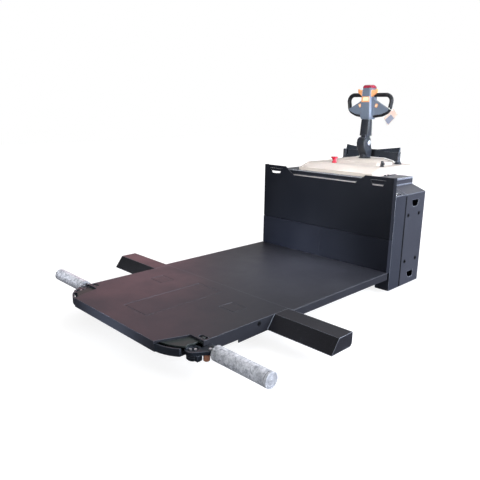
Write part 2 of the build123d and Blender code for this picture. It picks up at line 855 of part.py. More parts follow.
# Tiller: cast base with a goose neck, column, head and handle loop
tiller_pivot_y = steer_y - 15.0
tiller_pivot_z = crown_top_z + 110.0
tiller_pin_r = 12.0
tiller_pin_reach = 39.0
neck_z = tiller_pivot_z + 163.0
loop_y = tiller_pivot_y + 31.0
loop_r = 14.0
base_half = 32.0
base_slot = 23.5
base_edge_r = 6.0
base_low = 15.0
slot_front_y = tiller_pivot_y - 35.5
slot_low = tiller_pivot_z - 38.0
column_half = 25.0
column_edge_r = 5.0
tongue_half = 18.0
# Outline of the cast base, from the steering axis and the crown's top: down the front, up the rear
base_line = [
    (-41, 149), (-61, 136), (-70, 110), (-65, 80), (-47, 52), (-28, 30), (-20, base_low),
    (28, base_low), (38, 38), (30, 78), (22, 112), (10, 142), (-14, 152),
]
# Outlines of the column and of the narrower tongue at its foot, from the tilt pin
column_line = [(-11, 163), (26, 163), (29, 124), (35, 53), (-22, 53), (-15, 124)]
tongue_line = [
    (-22, 60), (34, 60), (34, 10), (26, -16), (10, -28), (-10, -28), (-24, -14), (-28, 10),
]


def tiller_base():
    """Cast neck whose front bulges forward round the tiller's lower end."""
    shaft = drum(0, steer_y, motor_top_z, crown_top_z + 2 * base_low, neck_shaft_r)
    points = [(steer_y + y, crown_top_z + z) for y, z in base_line]
    face = Plane.YZ * make_face(Spline(*points, periodic=True))
    casting = Pos(-base_half, 0, 0) * extrude(face, 2 * base_half, dir=(1, 0, 0))
    casting = fillet(casting.edges(), base_edge_r)
    slot = block(-base_slot, base_slot, slot_front_y, rear_end_y, slot_low, neck_z)
    pin = axle(-tiller_pin_reach, tiller_pin_reach, tiller_pivot_y, tiller_pivot_z, tiller_pin_r)
    return shaft + (casting - slot) + pin


def tiller_column():
    line = [(tiller_pivot_y + y, tiller_pivot_z + z) for y, z in column_line]
    body = side(line, -column_half, column_half)
    ends = body.faces().filter_by(Axis.X).edges()
    body = fillet([edge for edge in ends if edge.length > 2 * column_half], column_edge_r)
    foot = [(tiller_pivot_y + y, tiller_pivot_z + z) for y, z in tongue_line]
    body += side(foot, -tongue_half, tongue_half)
    reach = 2 * column_half
    return body - axle(-reach, reach, tiller_pivot_y, tiller_pivot_z, tiller_pin_r + pin_gap)


# Head sections: height above the neck, half width, front y and rear y from the loop's plane
head_rows = [
    (0, 36, -48, 20),
    (16, 41, -55, 30),
    (60, 40, -57, 33),
    (160, 36, -57, 34),
    (212, 33, -52, 30),
]
head_corner = 9.0
# Wing between the head and the loop: x and height above the neck
wing = [(30, 26), (60, 30), (105, 36), (150, 56), (160, 70), (120, 92), (30, 144)]
wing_front = 16.0
wing_rear = 6.0


def tiller_head():
    """Head: a tall box between the loop's halves, lofted from the neck to its top."""
    body = None
    for low, high in zip(head_rows, head_rows[1:]):
        faces = []
        for z, half, y0, y1 in (low, high):
            place = Pos(0, loop_y + (y0 + y1) / 2, neck_z + z)
            faces.append(place * RectangleRounded(2 * half, y1 - y0, head_corner))
        piece = loft(faces)
        body = piece if body is None else body + piece
    line = [(x, neck_z + z) for x, z in wing]
    for plate in both(front(line, loop_y - wing_front, loop_y + wing_rear)):
        body += plate
    for tube in both(half_loop(loop_r + pin_gap)):
        body -= tube
    return body


# Half of the handle loop in the plane of the head: x, height above the neck and the bend's radius
loop_corners = [(105, 33, 60), (158, 57, 45), (178, 166, 42)]
loop_low = (32, 22)
loop_high = (36, 166)


def half_loop(radius):
    """Right half of the handle loop as a bent tube."""
    points = [loop_low] + [(x, z) for x, z, bend in loop_corners] + [loop_high]
    route = [(x, loop_y, neck_z + z) for x, z in points]
    path = FilletPolyline(*route, radius=[bend for x, z, bend in loop_corners])
    plane = Plane(origin=path @ 0, z_dir=path % 0)
    return sweep(plane * Circle(radius), path=path)


# Side view of the cap: y from the loop's plane and height above the neck
cap_line = [(-52, 212), (-49, 223), (-38, 231), (-21, 234), (2, 231), (20, 223), (30, 212)]
cap_edge_r = 6.0


def tiller_cap():
    """Rounded cap that ends the head, highest near its front."""
    points = [(loop_y + y, neck_z + z) for y, z in cap_line]
    face = Plane.YZ * make_face([Spline(*points), Line(points[-1], points[0])])
    half = head_rows[-1][1]
    body = Pos(-half, 0, 0) * extrude(face, 2 * half, dir=(1, 0, 0))
    ends = body.faces().filter_by(Plane.YZ).edges().filter_by(GeomType.BSPLINE)
    return fillet(ends, cap_edge_r)


display_box = (-30.0, 30.0, 117.0, 155.0)
display_proud = 5.0
display_corner_r = 4.0
control_gap = 0.3
# Butterfly throttle on each side of the head: distance from the head's side, half depth, half height, rise
paddle_rows = [(0, 15, 24, 0), (18, 12, 17, 6), (38, 9, 13, 18)]
paddle_y = loop_y - 34.0
paddle_z = 176.0
paddle_corner_r = 7.0


def tiller_controls():
    x0, x1, z0, z1 = display_box
    row_z, head_half, head_front, head_rear = head_rows[3]
    front_y = loop_y + head_front
    display = block(x0, x1, front_y - display_proud, front_y - control_gap, neck_z + z0, neck_z + z1)
    display = fillet(display.edges().filter_by(Axis.Y), display_corner_r)
    faces = []
    for out, half_y, half_z, rise in paddle_rows:
        place = (head_half + control_gap + out, paddle_y, neck_z + paddle_z + rise)
        plane = Plane(origin=place, z_dir=(1, 0, 0))
        faces.append(plane * RectangleRounded(2 * half_z, 2 * half_y, paddle_corner_r))
    paddle = loft(faces[:2]) + loft(faces[1:])
    return [display] + both(paddle)


keep("front_deck", front_deck())
keep("hatches", *hatches())
keep("corner_trays", *both(corner_tray()))
keep("sector_plates", *both(sector_plate_solid()))
keep("cross_arms", *both(cross_arm()), cross_beam())
keep("belly_plates", *belly_plates())
keep("rear_deck", rear_deck(), *both(link_beam()))
keep("load_forks", *both(load_fork()))
keep("lower_panels", *lower_panels())
keep("upper_panel", upper_panel() + tie_bar())
keep("panel_shelf", panel_shelf())
keep("masts", *both(mast()))
keep("side_boxes", *both(side_box()))
keep("guide_rollers", *both(guide_roller()))
keep("chassis_box", chassis_box())
keep("battery", battery())
keep("drive_skirt", drive_skirt())
keep("frame_plates", *frame_plates())
front_hood, rear_hood = hood_halves()
keep("front_hood", front_hood)
keep("rear_hood", rear_hood)
keep("stop_button", stop_button())
keep("hood_fittings", key_switch(), *hood_latches())
keep("guard", guard(), *both(guard_post()))
keep("drive_fork", drive_fork(), drive_motor())
drive_bore_r = drive_axle_r + pin_gap
drive_tyre = (0, steer_y, drive_wheel_r, drive_wheel_r, drive_wheel_w)
keep("drive_wheel", plain_wheel(*drive_tyre, drive_bore_r, drive_rim_r))
keep("tiller_base", tiller_base())
keep("tiller_column", tiller_column())
keep("tiller_head", tiller_head())
keep("tiller_loop", *both(half_loop(loop_r)))
keep("tiller_cap", tiller_cap())
keep("tiller_controls", *tiller_controls())

for side_name, pick in (("right", 0), ("left", 1)):
    keep("swing_arm_" + side_name, both(swing_arm())[pick])
    keep("arm_pins_" + side_name, *[both(pin)[pick] for pin in arm_pins()])
    keep("thrust_bush_" + side_name, both(thrust_bush())[pick])
    keep("roller_" + side_name, both(roller())[pick])
    load_wheel = plain_wheel(
        load_x, load_y, load_wheel_r, load_wheel_r, load_wheel_w, load_axle_r + pin_gap, load_rim_r
    )
    keep("load_wheel_" + side_name, both(load_wheel)[pick])
    keep("caster_fork_" + side_name, both(caster_fork())[pick])
    caster = plain_wheel(
        caster_x, caster_y + caster_trail, caster_r, caster_r, caster_w, caster_axle_r + pin_gap, caster_rim_r
    )
    keep("caster_wheel_" + side_name, both(caster)[pick])

for name, shapes in nodes.items():
    solids = []
    for shape in shapes:
        solids += list((Pos(0, -rear_end_y / 2, 0) * shape).solids())
    piece = solids[0] if len(solids) == 1 else Compound(children=solids)
    export_step(piece, "parts/" + name + ".step")
    print(name, len(solids))
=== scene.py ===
# %% [markdown]
# # Dressing an electric vehicle mover
# The machine is a low steel deck that goes under a car, two roller arms that close behind its tyres,
# and a battery power unit with a tiller. The CAD model gives every steel part its true size, so
# here each part gets its finish, and the small things that CAD leaves out are added. The frame is
# loaded first, because every piece rides on one of its bodies.

# %% Load the frame
import math

import bmesh
import bpy
from mathutils import Matrix, Vector


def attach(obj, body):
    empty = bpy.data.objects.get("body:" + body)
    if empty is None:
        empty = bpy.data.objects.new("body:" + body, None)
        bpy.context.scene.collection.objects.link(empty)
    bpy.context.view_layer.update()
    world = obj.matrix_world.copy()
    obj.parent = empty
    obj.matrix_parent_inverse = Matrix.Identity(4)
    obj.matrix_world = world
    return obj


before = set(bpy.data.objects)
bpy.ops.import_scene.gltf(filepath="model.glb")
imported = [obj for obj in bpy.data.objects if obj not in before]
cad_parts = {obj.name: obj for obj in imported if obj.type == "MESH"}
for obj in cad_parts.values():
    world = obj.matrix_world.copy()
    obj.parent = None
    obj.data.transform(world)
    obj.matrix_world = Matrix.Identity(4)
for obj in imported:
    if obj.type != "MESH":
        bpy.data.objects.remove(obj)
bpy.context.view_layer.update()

# %% [markdown]
# ## The camera
# The picture was taken from the front right, a little below the tiller's top. A camera could be
# nudged by eye until it looks right. Here the place, the turn and the lens come from fitting a
# pinhole camera to the straight edges of the deck, arms and towers, so what still differs is the
# model's fault and not the view's.

# %% Camera
CAMERA_PLACE = Vector((2.0558, -2.3042, 1.1113))
CAMERA_YAW, CAMERA_PITCH, CAMERA_ROLL = (math.radians(a) for a in (45.52, -14.13, 0.78))
LENS_MM, SENSOR_MM = 38.59, 36


def camera_axes(yaw, pitch, roll):
    """Right, up and back directions of a camera that looks along yaw and pitch."""
    ahead = Vector((-math.sin(yaw) * math.cos(pitch), math.cos(yaw) * math.cos(pitch), math.sin(pitch)))
    right = Vector((math.cos(yaw), math.sin(yaw), 0))
    up = right.cross(ahead)
    turned_right = right * math.cos(roll) + up * math.sin(roll)
    turned_up = up * math.cos(roll) - right * math.sin(roll)
    return turned_right, turned_up, -ahead


def place_camera():
    data = bpy.data.cameras.new("camera")
    data.lens = LENS_MM
    data.sensor_width = SENSOR_MM
    data.sensor_fit = "HORIZONTAL"
    camera = bpy.data.objects.new("camera", data)
    bpy.context.scene.collection.objects.link(camera)
    right, up, back = camera_axes(CAMERA_YAW, CAMERA_PITCH, CAMERA_ROLL)
    turn = Matrix((right, up, back)).transposed().to_4x4()
    camera.matrix_world = Matrix.Translation(CAMERA_PLACE) @ turn
    bpy.context.scene.camera = camera
    return camera


camera = place_camera()
print("camera at", [round(v, 2) for v in camera.matrix_world.translation])

# %% [markdown]
# ## One function for nodes, one for colours
# Every material is a small tree of nodes. One function adds any node with its settings and links,
# so the trees below read as lists of steps. Colours are written as the hex values that a screen
# shows, and one function turns them into the linear numbers that a renderer adds and multiplies.


# %% Node and colour helpers
def add_node(tree, kind, inputs=None, **settings):
    """Add a node. A socket given as an input is linked, any other value is set."""
    node = tree.nodes.new(kind)
    for key, value in settings.items():
        setattr(node, key, value)
    for key, value in (inputs or {}).items():
        if isinstance(value, bpy.types.NodeSocket):
            tree.links.new(value, node.inputs[key])
        else:
            node.inputs[key].default_value = value
    return node


def linear(code):
    """Linear colour of an sRGB hex code such as #8a9099."""
    channels = [int(code[i:i + 2], 16) / 255 for i in (1, 3, 5)]
    return tuple(c / 12.92 if c < 0.04045 else ((c + 0.055) / 1.055) ** 2.4 for c in channels) + (1,)


def per_metre(millimetres):
    """Scale of a pattern on Object coordinates whose features are this wide."""
    return 1000 / millimetres


def new_material(name):
    material = bpy.data.materials.new(name)
    material.use_nodes = True
    material.node_tree.nodes.clear()
    return material, material.node_tree


print("the deck's charcoal is", [round(c, 3) for c in linear("#24252b")])

# %% [markdown]
# ## Finding the edges
# Folded and cut edges catch the light as pale lines, because the coat lies thinner there and the
# metal is rounded. Rounding could be cut into each mesh, but the CAD meshes stay as they are. A
# Bevel node finds the edges instead: it gives the normal of a rounded edge, and the more that
# differs from the flat face's normal, the nearer the edge is. Most finishes use this mask to mix a
# pale tone into the colour of their edges, a painted highlight.

# %% Edge mask
FLAT_COSINE, EDGE_COSINE = 0.995, 0.80      # of the turn where the mask starts and is full


def edge_mask(tree, edge_mm):
    """Socket that is 1 on folds and 0 on flat faces, and the rounded normal."""
    rounded = add_node(tree, "ShaderNodeBevel", {"Radius": edge_mm / 1000}, samples=6)
    flat = add_node(tree, "ShaderNodeNewGeometry")
    same = add_node(tree, "ShaderNodeVectorMath", {0: rounded.outputs[0], 1: flat.outputs["Normal"]},
                    operation="DOT_PRODUCT")
    mask = add_node(tree, "ShaderNodeMapRange", {
        "Value": same.outputs["Value"], "From Min": FLAT_COSINE, "From Max": EDGE_COSINE, "To Min": 0.0, "To Max": 1.0})
    return mask.outputs[0], rounded.outputs[0]


print("edges start at", round(math.degrees(math.acos(FLAT_COSINE)), 1), "degrees of turn")

# %% [markdown]
# ## Powder coated sheet steel
# Nearly the whole machine is folded and welded plate with a satin powder coat. The powder melts into
# a skin with a fine bumpy grain, which spreads each highlight. Faint clouds show where the coat is
# thicker, and tyres and feet leave scuffs, long in one direction, so one noise is stretched.
# Painted pictures could be wrapped round the parts, but noise in real millimetres fits every part
# at once and has no seams.

# %% Powder coat recipe
GRAIN_MM = 2.2          # real grain is about 0.6 mm, drawn coarser so that it shows
CLOUD_MM = 260
SCUFF_MM = 170
EDGE_MM = 2.4           # a real edge is rubbed about 1 mm wide; its pale tone, partly a painted highlight, is drawn wider so that it shows
COAT_SPECULAR = 0.32    # a matt coat reflects less than bare plastic, whose level is 0.5


def coat_colour(tree, place, clouds, grain, coat, pale, edge, scuff):
    """Coat with clouds of its pale tone, with fine painted glints of its edge tone on the grain, and with scuffs of the
    same tone.
    """
    drawn = add_node(tree, "ShaderNodeMapping", {"Vector": place, "Rotation": (0, 0, 0.35), "Scale": (9, 1, 3)})
    streaks = add_node(tree, "ShaderNodeTexNoise", {
        "Vector": drawn.outputs[0], "Scale": per_metre(SCUFF_MM), "Detail": 7.0, "Roughness": 0.7})
    spread = add_node(tree, "ShaderNodeMapRange", {
        "Value": clouds, "From Min": 0.35, "From Max": 0.7, "To Min": 0.0, "To Max": 0.5})
    body = add_node(tree, "ShaderNodeMix", {0: spread.outputs[0], 6: linear(coat), 7: linear(pale)}, data_type="RGBA")
    # Fine pale dots of the edge tone on the grain's peaks are painted glints.
    painted_grain_glints = add_node(tree, "ShaderNodeMapRange", {
        "Value": grain, "From Min": 0.62, "From Max": 0.8, "To Min": 0.0, "To Max": 0.22})
    with_painted_glints = add_node(tree, "ShaderNodeMix", {0: painted_grain_glints.outputs[0], 6: body.outputs[2], 7: linear(edge)},
                        data_type="RGBA")
    worn = add_node(tree, "ShaderNodeMapRange", {
        "Value": streaks.outputs[0], "From Min": 0.60, "From Max": 0.78, "To Min": 0.0, "To Max": scuff})
    scuffed = add_node(tree, "ShaderNodeMix", {0: worn.outputs[0], 6: with_painted_glints.outputs[2], 7: linear(edge)},
                       data_type="RGBA")
    return scuffed.outputs[2]


def powder_coat(name, coat, pale, edge, roughness, grain_mm=GRAIN_MM, scuff=0.12, edge_mm=EDGE_MM):
    """Satin powder coat: base colour, paler clouds, and a pale tone for scuffs and for folded edges, where it is
    rubbing and painted highlight.
    """
    material, tree = new_material(name)
    place = add_node(tree, "ShaderNodeTexCoord").outputs["Object"]
    clouds = add_node(tree, "ShaderNodeTexNoise", {
        "Vector": place, "Scale": per_metre(CLOUD_MM), "Detail": 4.0, "Roughness": 0.6}).outputs[0]
    grain = add_node(tree, "ShaderNodeTexNoise", {
        "Vector": place, "Scale": per_metre(grain_mm), "Detail": 2.0, "Roughness": 0.6}).outputs[0]
    skin = coat_colour(tree, place, clouds, grain, coat, pale, edge, scuff)
    mask, rounded = edge_mask(tree, edge_mm)
    # Folds get the pale edge tone: rubbing, and a painted highlight.
    edge_wear_and_highlight = add_node(tree, "ShaderNodeMix", {0: mask, 6: skin, 7: linear(edge)}, data_type="RGBA")
    gloss = add_node(tree, "ShaderNodeMapRange", {
        "Value": clouds, "From Min": 0.3, "From Max": 0.7, "To Min": roughness - 0.05, "To Max": roughness + 0.08})
    bump = add_node(tree, "ShaderNodeBump", {"Height": grain, "Strength": 0.25, "Distance": 0.0006, "Normal": rounded})
    shader = add_node(tree, "ShaderNodeBsdfPrincipled", {
        "Base Color": edge_wear_and_highlight.outputs[2], "Roughness": gloss.outputs[0], "Normal": bump.outputs[0],
        "IOR": 1.5, "Specular IOR Level": COAT_SPECULAR})
    add_node(tree, "ShaderNodeOutputMaterial", {"Surface": shader.outputs[0]})
    return material


print("grains in a metre of coat", round(per_metre(GRAIN_MM)))

# %% [markdown]
# ## The coats on this machine
# One kind of paint, but not one look: the deck is driven over, the panels are only dusty, and the
# power unit's folded sheet shows broad pale edges. Each coat is given by three tones, for its flats,
# its clouds and its edges; the edge tone is painted on folds as a painted highlight mixed with
# rubbing. One grey with a dirt layer would be quicker, but each part of the real machine has its
# own depth of black or grey. Edges of 4.5 mm and more are drawn wider than the real folds, so that
# they show.

# %% Coats of the deck and arms
# Neutral charcoal that takes up the rose light; tyres rub its edges pale, and that pale edge is also a painted
# highlight.
deck_coat = powder_coat("powder_coat_charcoal", "#24252b", "#2a2c33", "#6c717b", 0.42, edge_mm=3.0)
# The covers lie sunk in the deck, so their edges get only a faint painted highlight, stay dark and show as fine lines.
hatch_coat = powder_coat("powder_coat_charcoal_cover", "#24252b", "#2a2c33", "#3e4046", 0.42)
# The cross arms are nearly black, which makes their bright cut edges stand out; the brightness of those edges is a
# painted highlight.
beam_coat = powder_coat("powder_coat_deep_slate", "#1a1a20", "#202026", "#9aa1ad", 0.40, edge_mm=4.5)
# Trays, skirts and forks: a soft blue-black that hides oil.
frame_coat = powder_coat("powder_coat_soft_black", "#1b2028", "#222830", "#737a85", 0.40)
# The shelf that each arm sweeps over is dusty, so it is matt and a little green.
tray_coat = powder_coat("powder_coat_green_grey", "#252c2b", "#2e3534", "#6c7472", 0.5)
# The arms are handled and rubbed, which gives the same black more shine.
arm_coat = powder_coat("powder_coat_arm_black", "#191e26", "#20262e", "#7d8590", 0.34)
# Weld beads are painted paler than the plates they join, as a painted highlight of the lit corner where they run.
weld_highlight_coat = powder_coat("powder_coat_weld_painted_highlight", "#6f7683", "#8b93a1", "#b9c2cf", 0.34, scuff=0.0)
print("deck, arms and welds are coated")

# %% Coats of the power unit
# The wide panel is a quiet ink blue with hardly any edge line, the kick panels a shade lighter.
panel_coat = powder_coat("powder_coat_ink_blue", "#13161e", "#171a23", "#282c36", 0.38, scuff=0.05)
lower_panel_coat = powder_coat("powder_coat_slate_blue", "#181b25", "#1d202b", "#2c303b", 0.40, scuff=0.05)
# Masts and side boxes are folded sheet: mid greys whose folds show as pale lines of painted highlight.
mast_coat = powder_coat("powder_coat_dark_grey", "#2b2e37", "#32353f", "#a4abb8", 0.40, scuff=0.05, edge_mm=4.5)
tower_coat = powder_coat("powder_coat_mid_grey", "#35373f", "#3c3e47", "#a9b0bc", 0.40, scuff=0.05, edge_mm=4.5)
# The box beside the hood has the broadest folds, painted pale as highlights, and its turned-out lips are painted paler
# still, as a painted highlight.
bridge_coat = powder_coat("powder_coat_box_grey", "#34363e", "#3c3e46", "#ccd2dd", 0.38, scuff=0.03, edge_mm=9.0)
lip_highlight_coat = powder_coat("powder_coat_lip_painted_highlight", "#7b808b", "#868c98", "#c2c8d2", 0.36, scuff=0.0)
# The shelf behind the hand holes is painted light grey, a painted reflection of the bright air on a dark shelf seen at
# a grazing angle; it makes the holes read from afar.
shelf_reflection_coat = powder_coat("powder_coat_shelf_painted_reflection", "#8a8684", "#9a9592", "#c5c1bd", 0.45)
# The tiller's foot is enamel over sand cast iron: a coarser grain, and fat, soft edges whose pale tone is a painted
# highlight.
casting_coat = powder_coat("enamelled_cast_grey", "#1d2026", "#23272e", "#9aa3b2", 0.36, grain_mm=3.0,
                           scuff=0.03, edge_mm=5.0)
print("coated finishes", len([m for m in bpy.data.materials if m.name.startswith("powder")]))

# %% [markdown]
# ## Galvanised rollers
# The rollers are steel tube dipped in molten zinc and since rubbed by tyres: bright bands between
# dull grey blotches, with the faint flakes of zinc crystals and fine scratches. A mirror metal
# would go black here, because the studio is dark to one side. Old zinc carries a chalky skin that
# scatters light, so it is set only partly metallic.

# %% Rubbed zinc recipe
SPANGLE_MM = 7
SCRATCH_MM = 60
ZINC_EDGE_MM = 1.5
ZINC_METALLIC = 0.35


def zinc_colour(tree, place, bright, dull, dark, blotch_mm):
    """Rubbed zinc: bright, dull and stained tones under the shimmer of its crystals."""
    blotch = add_node(tree, "ShaderNodeTexNoise", {
        "Vector": place, "Scale": per_metre(blotch_mm), "Detail": 8.0, "Roughness": 0.78, "Distortion": 0.6})
    spangle = add_node(tree, "ShaderNodeTexVoronoi", {
        "Vector": place, "Scale": per_metre(SPANGLE_MM), "Randomness": 1.0})
    worn = add_node(tree, "ShaderNodeMapRange", {
        "Value": blotch.outputs[0], "From Min": 0.45, "From Max": 0.60, "To Min": 0.0, "To Max": 1.0})
    tint = add_node(tree, "ShaderNodeMix", {0: worn.outputs[0], 6: linear(bright), 7: linear(dull)}, data_type="RGBA")
    stain = add_node(tree, "ShaderNodeMapRange", {
        "Value": blotch.outputs[0], "From Min": 0.60, "From Max": 0.72, "To Min": 0.0, "To Max": 0.9})
    stained = add_node(tree, "ShaderNodeMix", {0: stain.outputs[0], 6: tint.outputs[2], 7: linear(dark)},
                       data_type="RGBA")
    flake = add_node(tree, "ShaderNodeMapRange", {
        "Value": spangle.outputs["Distance"], "From Min": 0.1, "From Max": 0.9, "To Min": 0.82, "To Max": 1.0})
    flaked = add_node(tree, "ShaderNodeVectorMath", {0: stained.outputs[2], 1: flake.outputs[0]}, operation="MULTIPLY")
    return flaked.outputs[0]


def rubbed_zinc(name, bright, dull, dark, blotch_mm):
    """Hot dip galvanised steel, blotched and rubbed, bright along its edges from rubbing and a painted highlight."""
    material, tree = new_material(name)
    place = add_node(tree, "ShaderNodeTexCoord").outputs["Object"]
    skin = zinc_colour(tree, place, bright, dull, dark, blotch_mm)
    drawn = add_node(tree, "ShaderNodeMapping", {"Vector": place, "Scale": (1, 14, 14)})
    scratch = add_node(tree, "ShaderNodeTexNoise", {
        "Vector": drawn.outputs[0], "Scale": per_metre(SCRATCH_MM), "Detail": 5.0}).outputs[0]
    mask, rounded = edge_mask(tree, ZINC_EDGE_MM)
    # Edges are painted near white: rubbed bright by tyres, and a painted highlight.
    edge_wear_and_highlight = add_node(tree, "ShaderNodeMix", {0: mask, 6: skin, 7: linear("#f2f4f5")}, data_type="RGBA")
    rough = add_node(tree, "ShaderNodeMapRange", {
        "Value": scratch, "From Min": 0.3, "From Max": 0.7, "To Min": 0.40, "To Max": 0.62})
    bump = add_node(tree, "ShaderNodeBump", {"Height": scratch, "Strength": 0.3, "Distance": 0.0008, "Normal": rounded})
    shader = add_node(tree, "ShaderNodeBsdfPrincipled", {
        "Base Color": edge_wear_and_highlight.outputs[2], "Metallic": ZINC_METALLIC, "Roughness": rough.outputs[0],
        "Normal": bump.outputs[0]})
    add_node(tree, "ShaderNodeOutputMaterial", {"Surface": shader.outputs[0]})
    return material


# Tube: nearly white where tyres rub it, with slate grey stains about as wide as a thumb.
roller_zinc = rubbed_zinc("galvanised_tube_rubbed", "#e6e8ed", "#a3a7af", "#4c5058", 20)
# End cap: faces the key lamp squarely, so its tones are painted lower, a painted shade that keeps its rings in sight.
cap_zinc_painted_shade = rubbed_zinc("galvanised_end_cap_painted_shade", "#c4c6cb", "#a0a3a9", "#66696f", 12)
print("zinc crystals in a metre", round(per_metre(SPANGLE_MM)))

# %% [markdown]
# ## Turned and plated metals
# Bolts and pins are zinc plated or blackened, the guide rollers chromed, and the bush under each arm
# is bronze. All come off a lathe, so they share fine tool marks and a little stain. They are fully
# metallic, apart from the bronze, whose film of oil and dust hides half of its shine.

# %% Turned metal recipe
TOOL_MARK_MM = 1.2      # real marks are about 0.3 mm, drawn coarser so that they show
STAIN_MM = 22
TURNED_EDGE_MM = 0.8


def turned_metal(name, colour, dark, roughness, metallic=1.0):
    """Plated or turned metal with fine tool marks."""
    material, tree = new_material(name)
    place = add_node(tree, "ShaderNodeTexCoord").outputs["Object"]
    rings = add_node(tree, "ShaderNodeTexNoise", {"Vector": place, "Scale": per_metre(TOOL_MARK_MM), "Detail": 3.0})
    stain = add_node(tree, "ShaderNodeTexNoise", {"Vector": place, "Scale": per_metre(STAIN_MM), "Detail": 4.0})
    amount = add_node(tree, "ShaderNodeMapRange", {
        "Value": stain.outputs[0], "From Min": 0.4, "From Max": 0.75, "To Min": 0.0, "To Max": 0.6})
    tint = add_node(tree, "ShaderNodeMix", {0: amount.outputs[0], 6: linear(colour), 7: linear(dark)},
                    data_type="RGBA")
    _, rounded = edge_mask(tree, TURNED_EDGE_MM)
    rough = add_node(tree, "ShaderNodeMapRange", {
        "Value": rings.outputs[0], "From Min": 0.3, "From Max": 0.7,
        "To Min": roughness - 0.06, "To Max": roughness + 0.1})
    bump = add_node(tree, "ShaderNodeBump", {
        "Height": rings.outputs[0], "Strength": 0.2, "Distance": 0.0004, "Normal": rounded})
    shader = add_node(tree, "ShaderNodeBsdfPrincipled", {
        "Base Color": tint.outputs[2], "Metallic": metallic, "Roughness": rough.outputs[0], "Normal": bump.outputs[0]})
    add_node(tree, "ShaderNodeOutputMaterial", {"Surface": shader.outputs[0]})
    return material


plated_steel = turned_metal("zinc_plated_steel", "#dcdfe3", "#a2a6ac", 0.36)            # bright, soft sheen
black_steel = turned_metal("blackened_bolt_steel", "#2a2b2e", "#1a1b1d", 0.42)          # dark, oily sheen
polished_steel = turned_metal("polished_chromed_steel", "#e6e8ea", "#b9bdc2", 0.16)     # clear reflections
turned_bronze = turned_metal("turned_bronze", "#e0a184", "#b87c60", 0.42, metallic=0.5)     # warm and satin
print("tool marks in a metre", round(per_metre(TOOL_MARK_MM)))

# %% [markdown]
# ## Moulded plastic and rubber
# The hood, the head and the small controls are injection moulded. Moulded skins are smooth but
# never flat: the melt leaves a soft leather-like grain, handling leaves faint clouds of dirt, and
# rounded rims are rubbed paler; their pale tone is also a painted highlight. Rubber follows the
# same recipe with less gloss, which saves a second tree that would differ only in its numbers.

# %% Plastic recipe
RIM_MM = 2.5


def moulded(name, colour, shade, roughness, grain_mm, grain_depth=0.0003, cloud_mm=140, coat=0.0,
            rim_wear_and_highlight="#ffffff", specular=0.5):
    """Injection moulded plastic or rubber with a fine grain and faint clouds of handling dirt."""
    material, tree = new_material(name)
    place = add_node(tree, "ShaderNodeTexCoord").outputs["Object"]
    grain = add_node(tree, "ShaderNodeTexNoise", {"Vector": place, "Scale": per_metre(grain_mm), "Detail": 2.0})
    dirt = add_node(tree, "ShaderNodeTexNoise", {
        "Vector": place, "Scale": per_metre(cloud_mm), "Detail": 5.0, "Roughness": 0.65}).outputs[0]
    amount = add_node(tree, "ShaderNodeMapRange", {
        "Value": dirt, "From Min": 0.45, "From Max": 0.75, "To Min": 0.0, "To Max": 0.7})
    tint = add_node(tree, "ShaderNodeMix", {0: amount.outputs[0], 6: linear(colour), 7: linear(shade)},
                    data_type="RGBA")
    mask, rounded = edge_mask(tree, RIM_MM)
    # Rounded rims get a share of a pale tone: rubbing, and a painted highlight.
    soft = add_node(tree, "ShaderNodeMath", {0: mask, 1: 0.3}, operation="MULTIPLY")
    edge_wear_and_highlight = add_node(tree, "ShaderNodeMix", {0: soft.outputs[0], 6: tint.outputs[2], 7: linear(rim_wear_and_highlight)},
                     data_type="RGBA")
    rough = add_node(tree, "ShaderNodeMapRange", {
        "Value": dirt, "From Min": 0.3, "From Max": 0.7, "To Min": roughness - 0.04, "To Max": roughness + 0.06})
    bump = add_node(tree, "ShaderNodeBump", {
        "Height": grain.outputs[0], "Strength": 0.2, "Distance": grain_depth, "Normal": rounded})
    shader = add_node(tree, "ShaderNodeBsdfPrincipled", {
        "Base Color": edge_wear_and_highlight.outputs[2], "Roughness": rough.outputs[0], "Normal": bump.outputs[0], "IOR": 1.5,
        "Specular IOR Level": specular, "Coat Weight": coat})
    add_node(tree, "ShaderNodeOutputMaterial", {"Surface": shader.outputs[0]})
    return material


print("plastic recipe ready")

# %% [markdown]
# ## The plastics on this machine
# The hood is warm white ABS, the head blue-grey ABS with orange controls, and the two things that a
# hand must find first, the stop button and the cap, are glossy red. Grips, boots and seals are
# dull black rubber. Grains are drawn two to four times as wide as real ones, so that they show.

# %% Plastics of the hood and tiller
hood_abs = moulded("abs_warm_white", "#bfb7af", "#b1a79c", 0.38, 2.6)       # creamy satin, slightly soiled
latch_abs = moulded("abs_black", "#1c1d20", "#26272b", 0.45, 1.8, rim_wear_and_highlight="#5a5d62")    # dull black fittings
# Clear-coated red glows like wet paint; the cap's crimson is deeper.
button_red = moulded("polycarbonate_red", "#b50e2c", "#8f0c22", 0.25, 4.0, coat=0.3, rim_wear_and_highlight="#e04a60")
cap_red = moulded("polycarbonate_crimson", "#8c1230", "#6e0d24", 0.25, 4.0, coat=0.3, rim_wear_and_highlight="#c43a55")
head_abs = moulded("abs_blue_grey", "#5d6878", "#525c6b", 0.42, 1.6, rim_wear_and_highlight="#b8c0ca")     # fine leather grain
insert_abs = moulded("abs_pale_rose", "#e2d2d3", "#cfbcbd", 0.36, 1.6)      # pale panels in the head's sides
control_abs = moulded("abs_pale_orange", "#dc9561", "#c67d49", 0.40, 2.4, rim_wear_and_highlight="#ffe0c4")    # pale on its rims, a painted highlight
lens_cream = moulded("acrylic_cream_backed", "#eddcb8", "#dfc699", 0.18, 3.0, coat=0.4)     # clear, glossy face
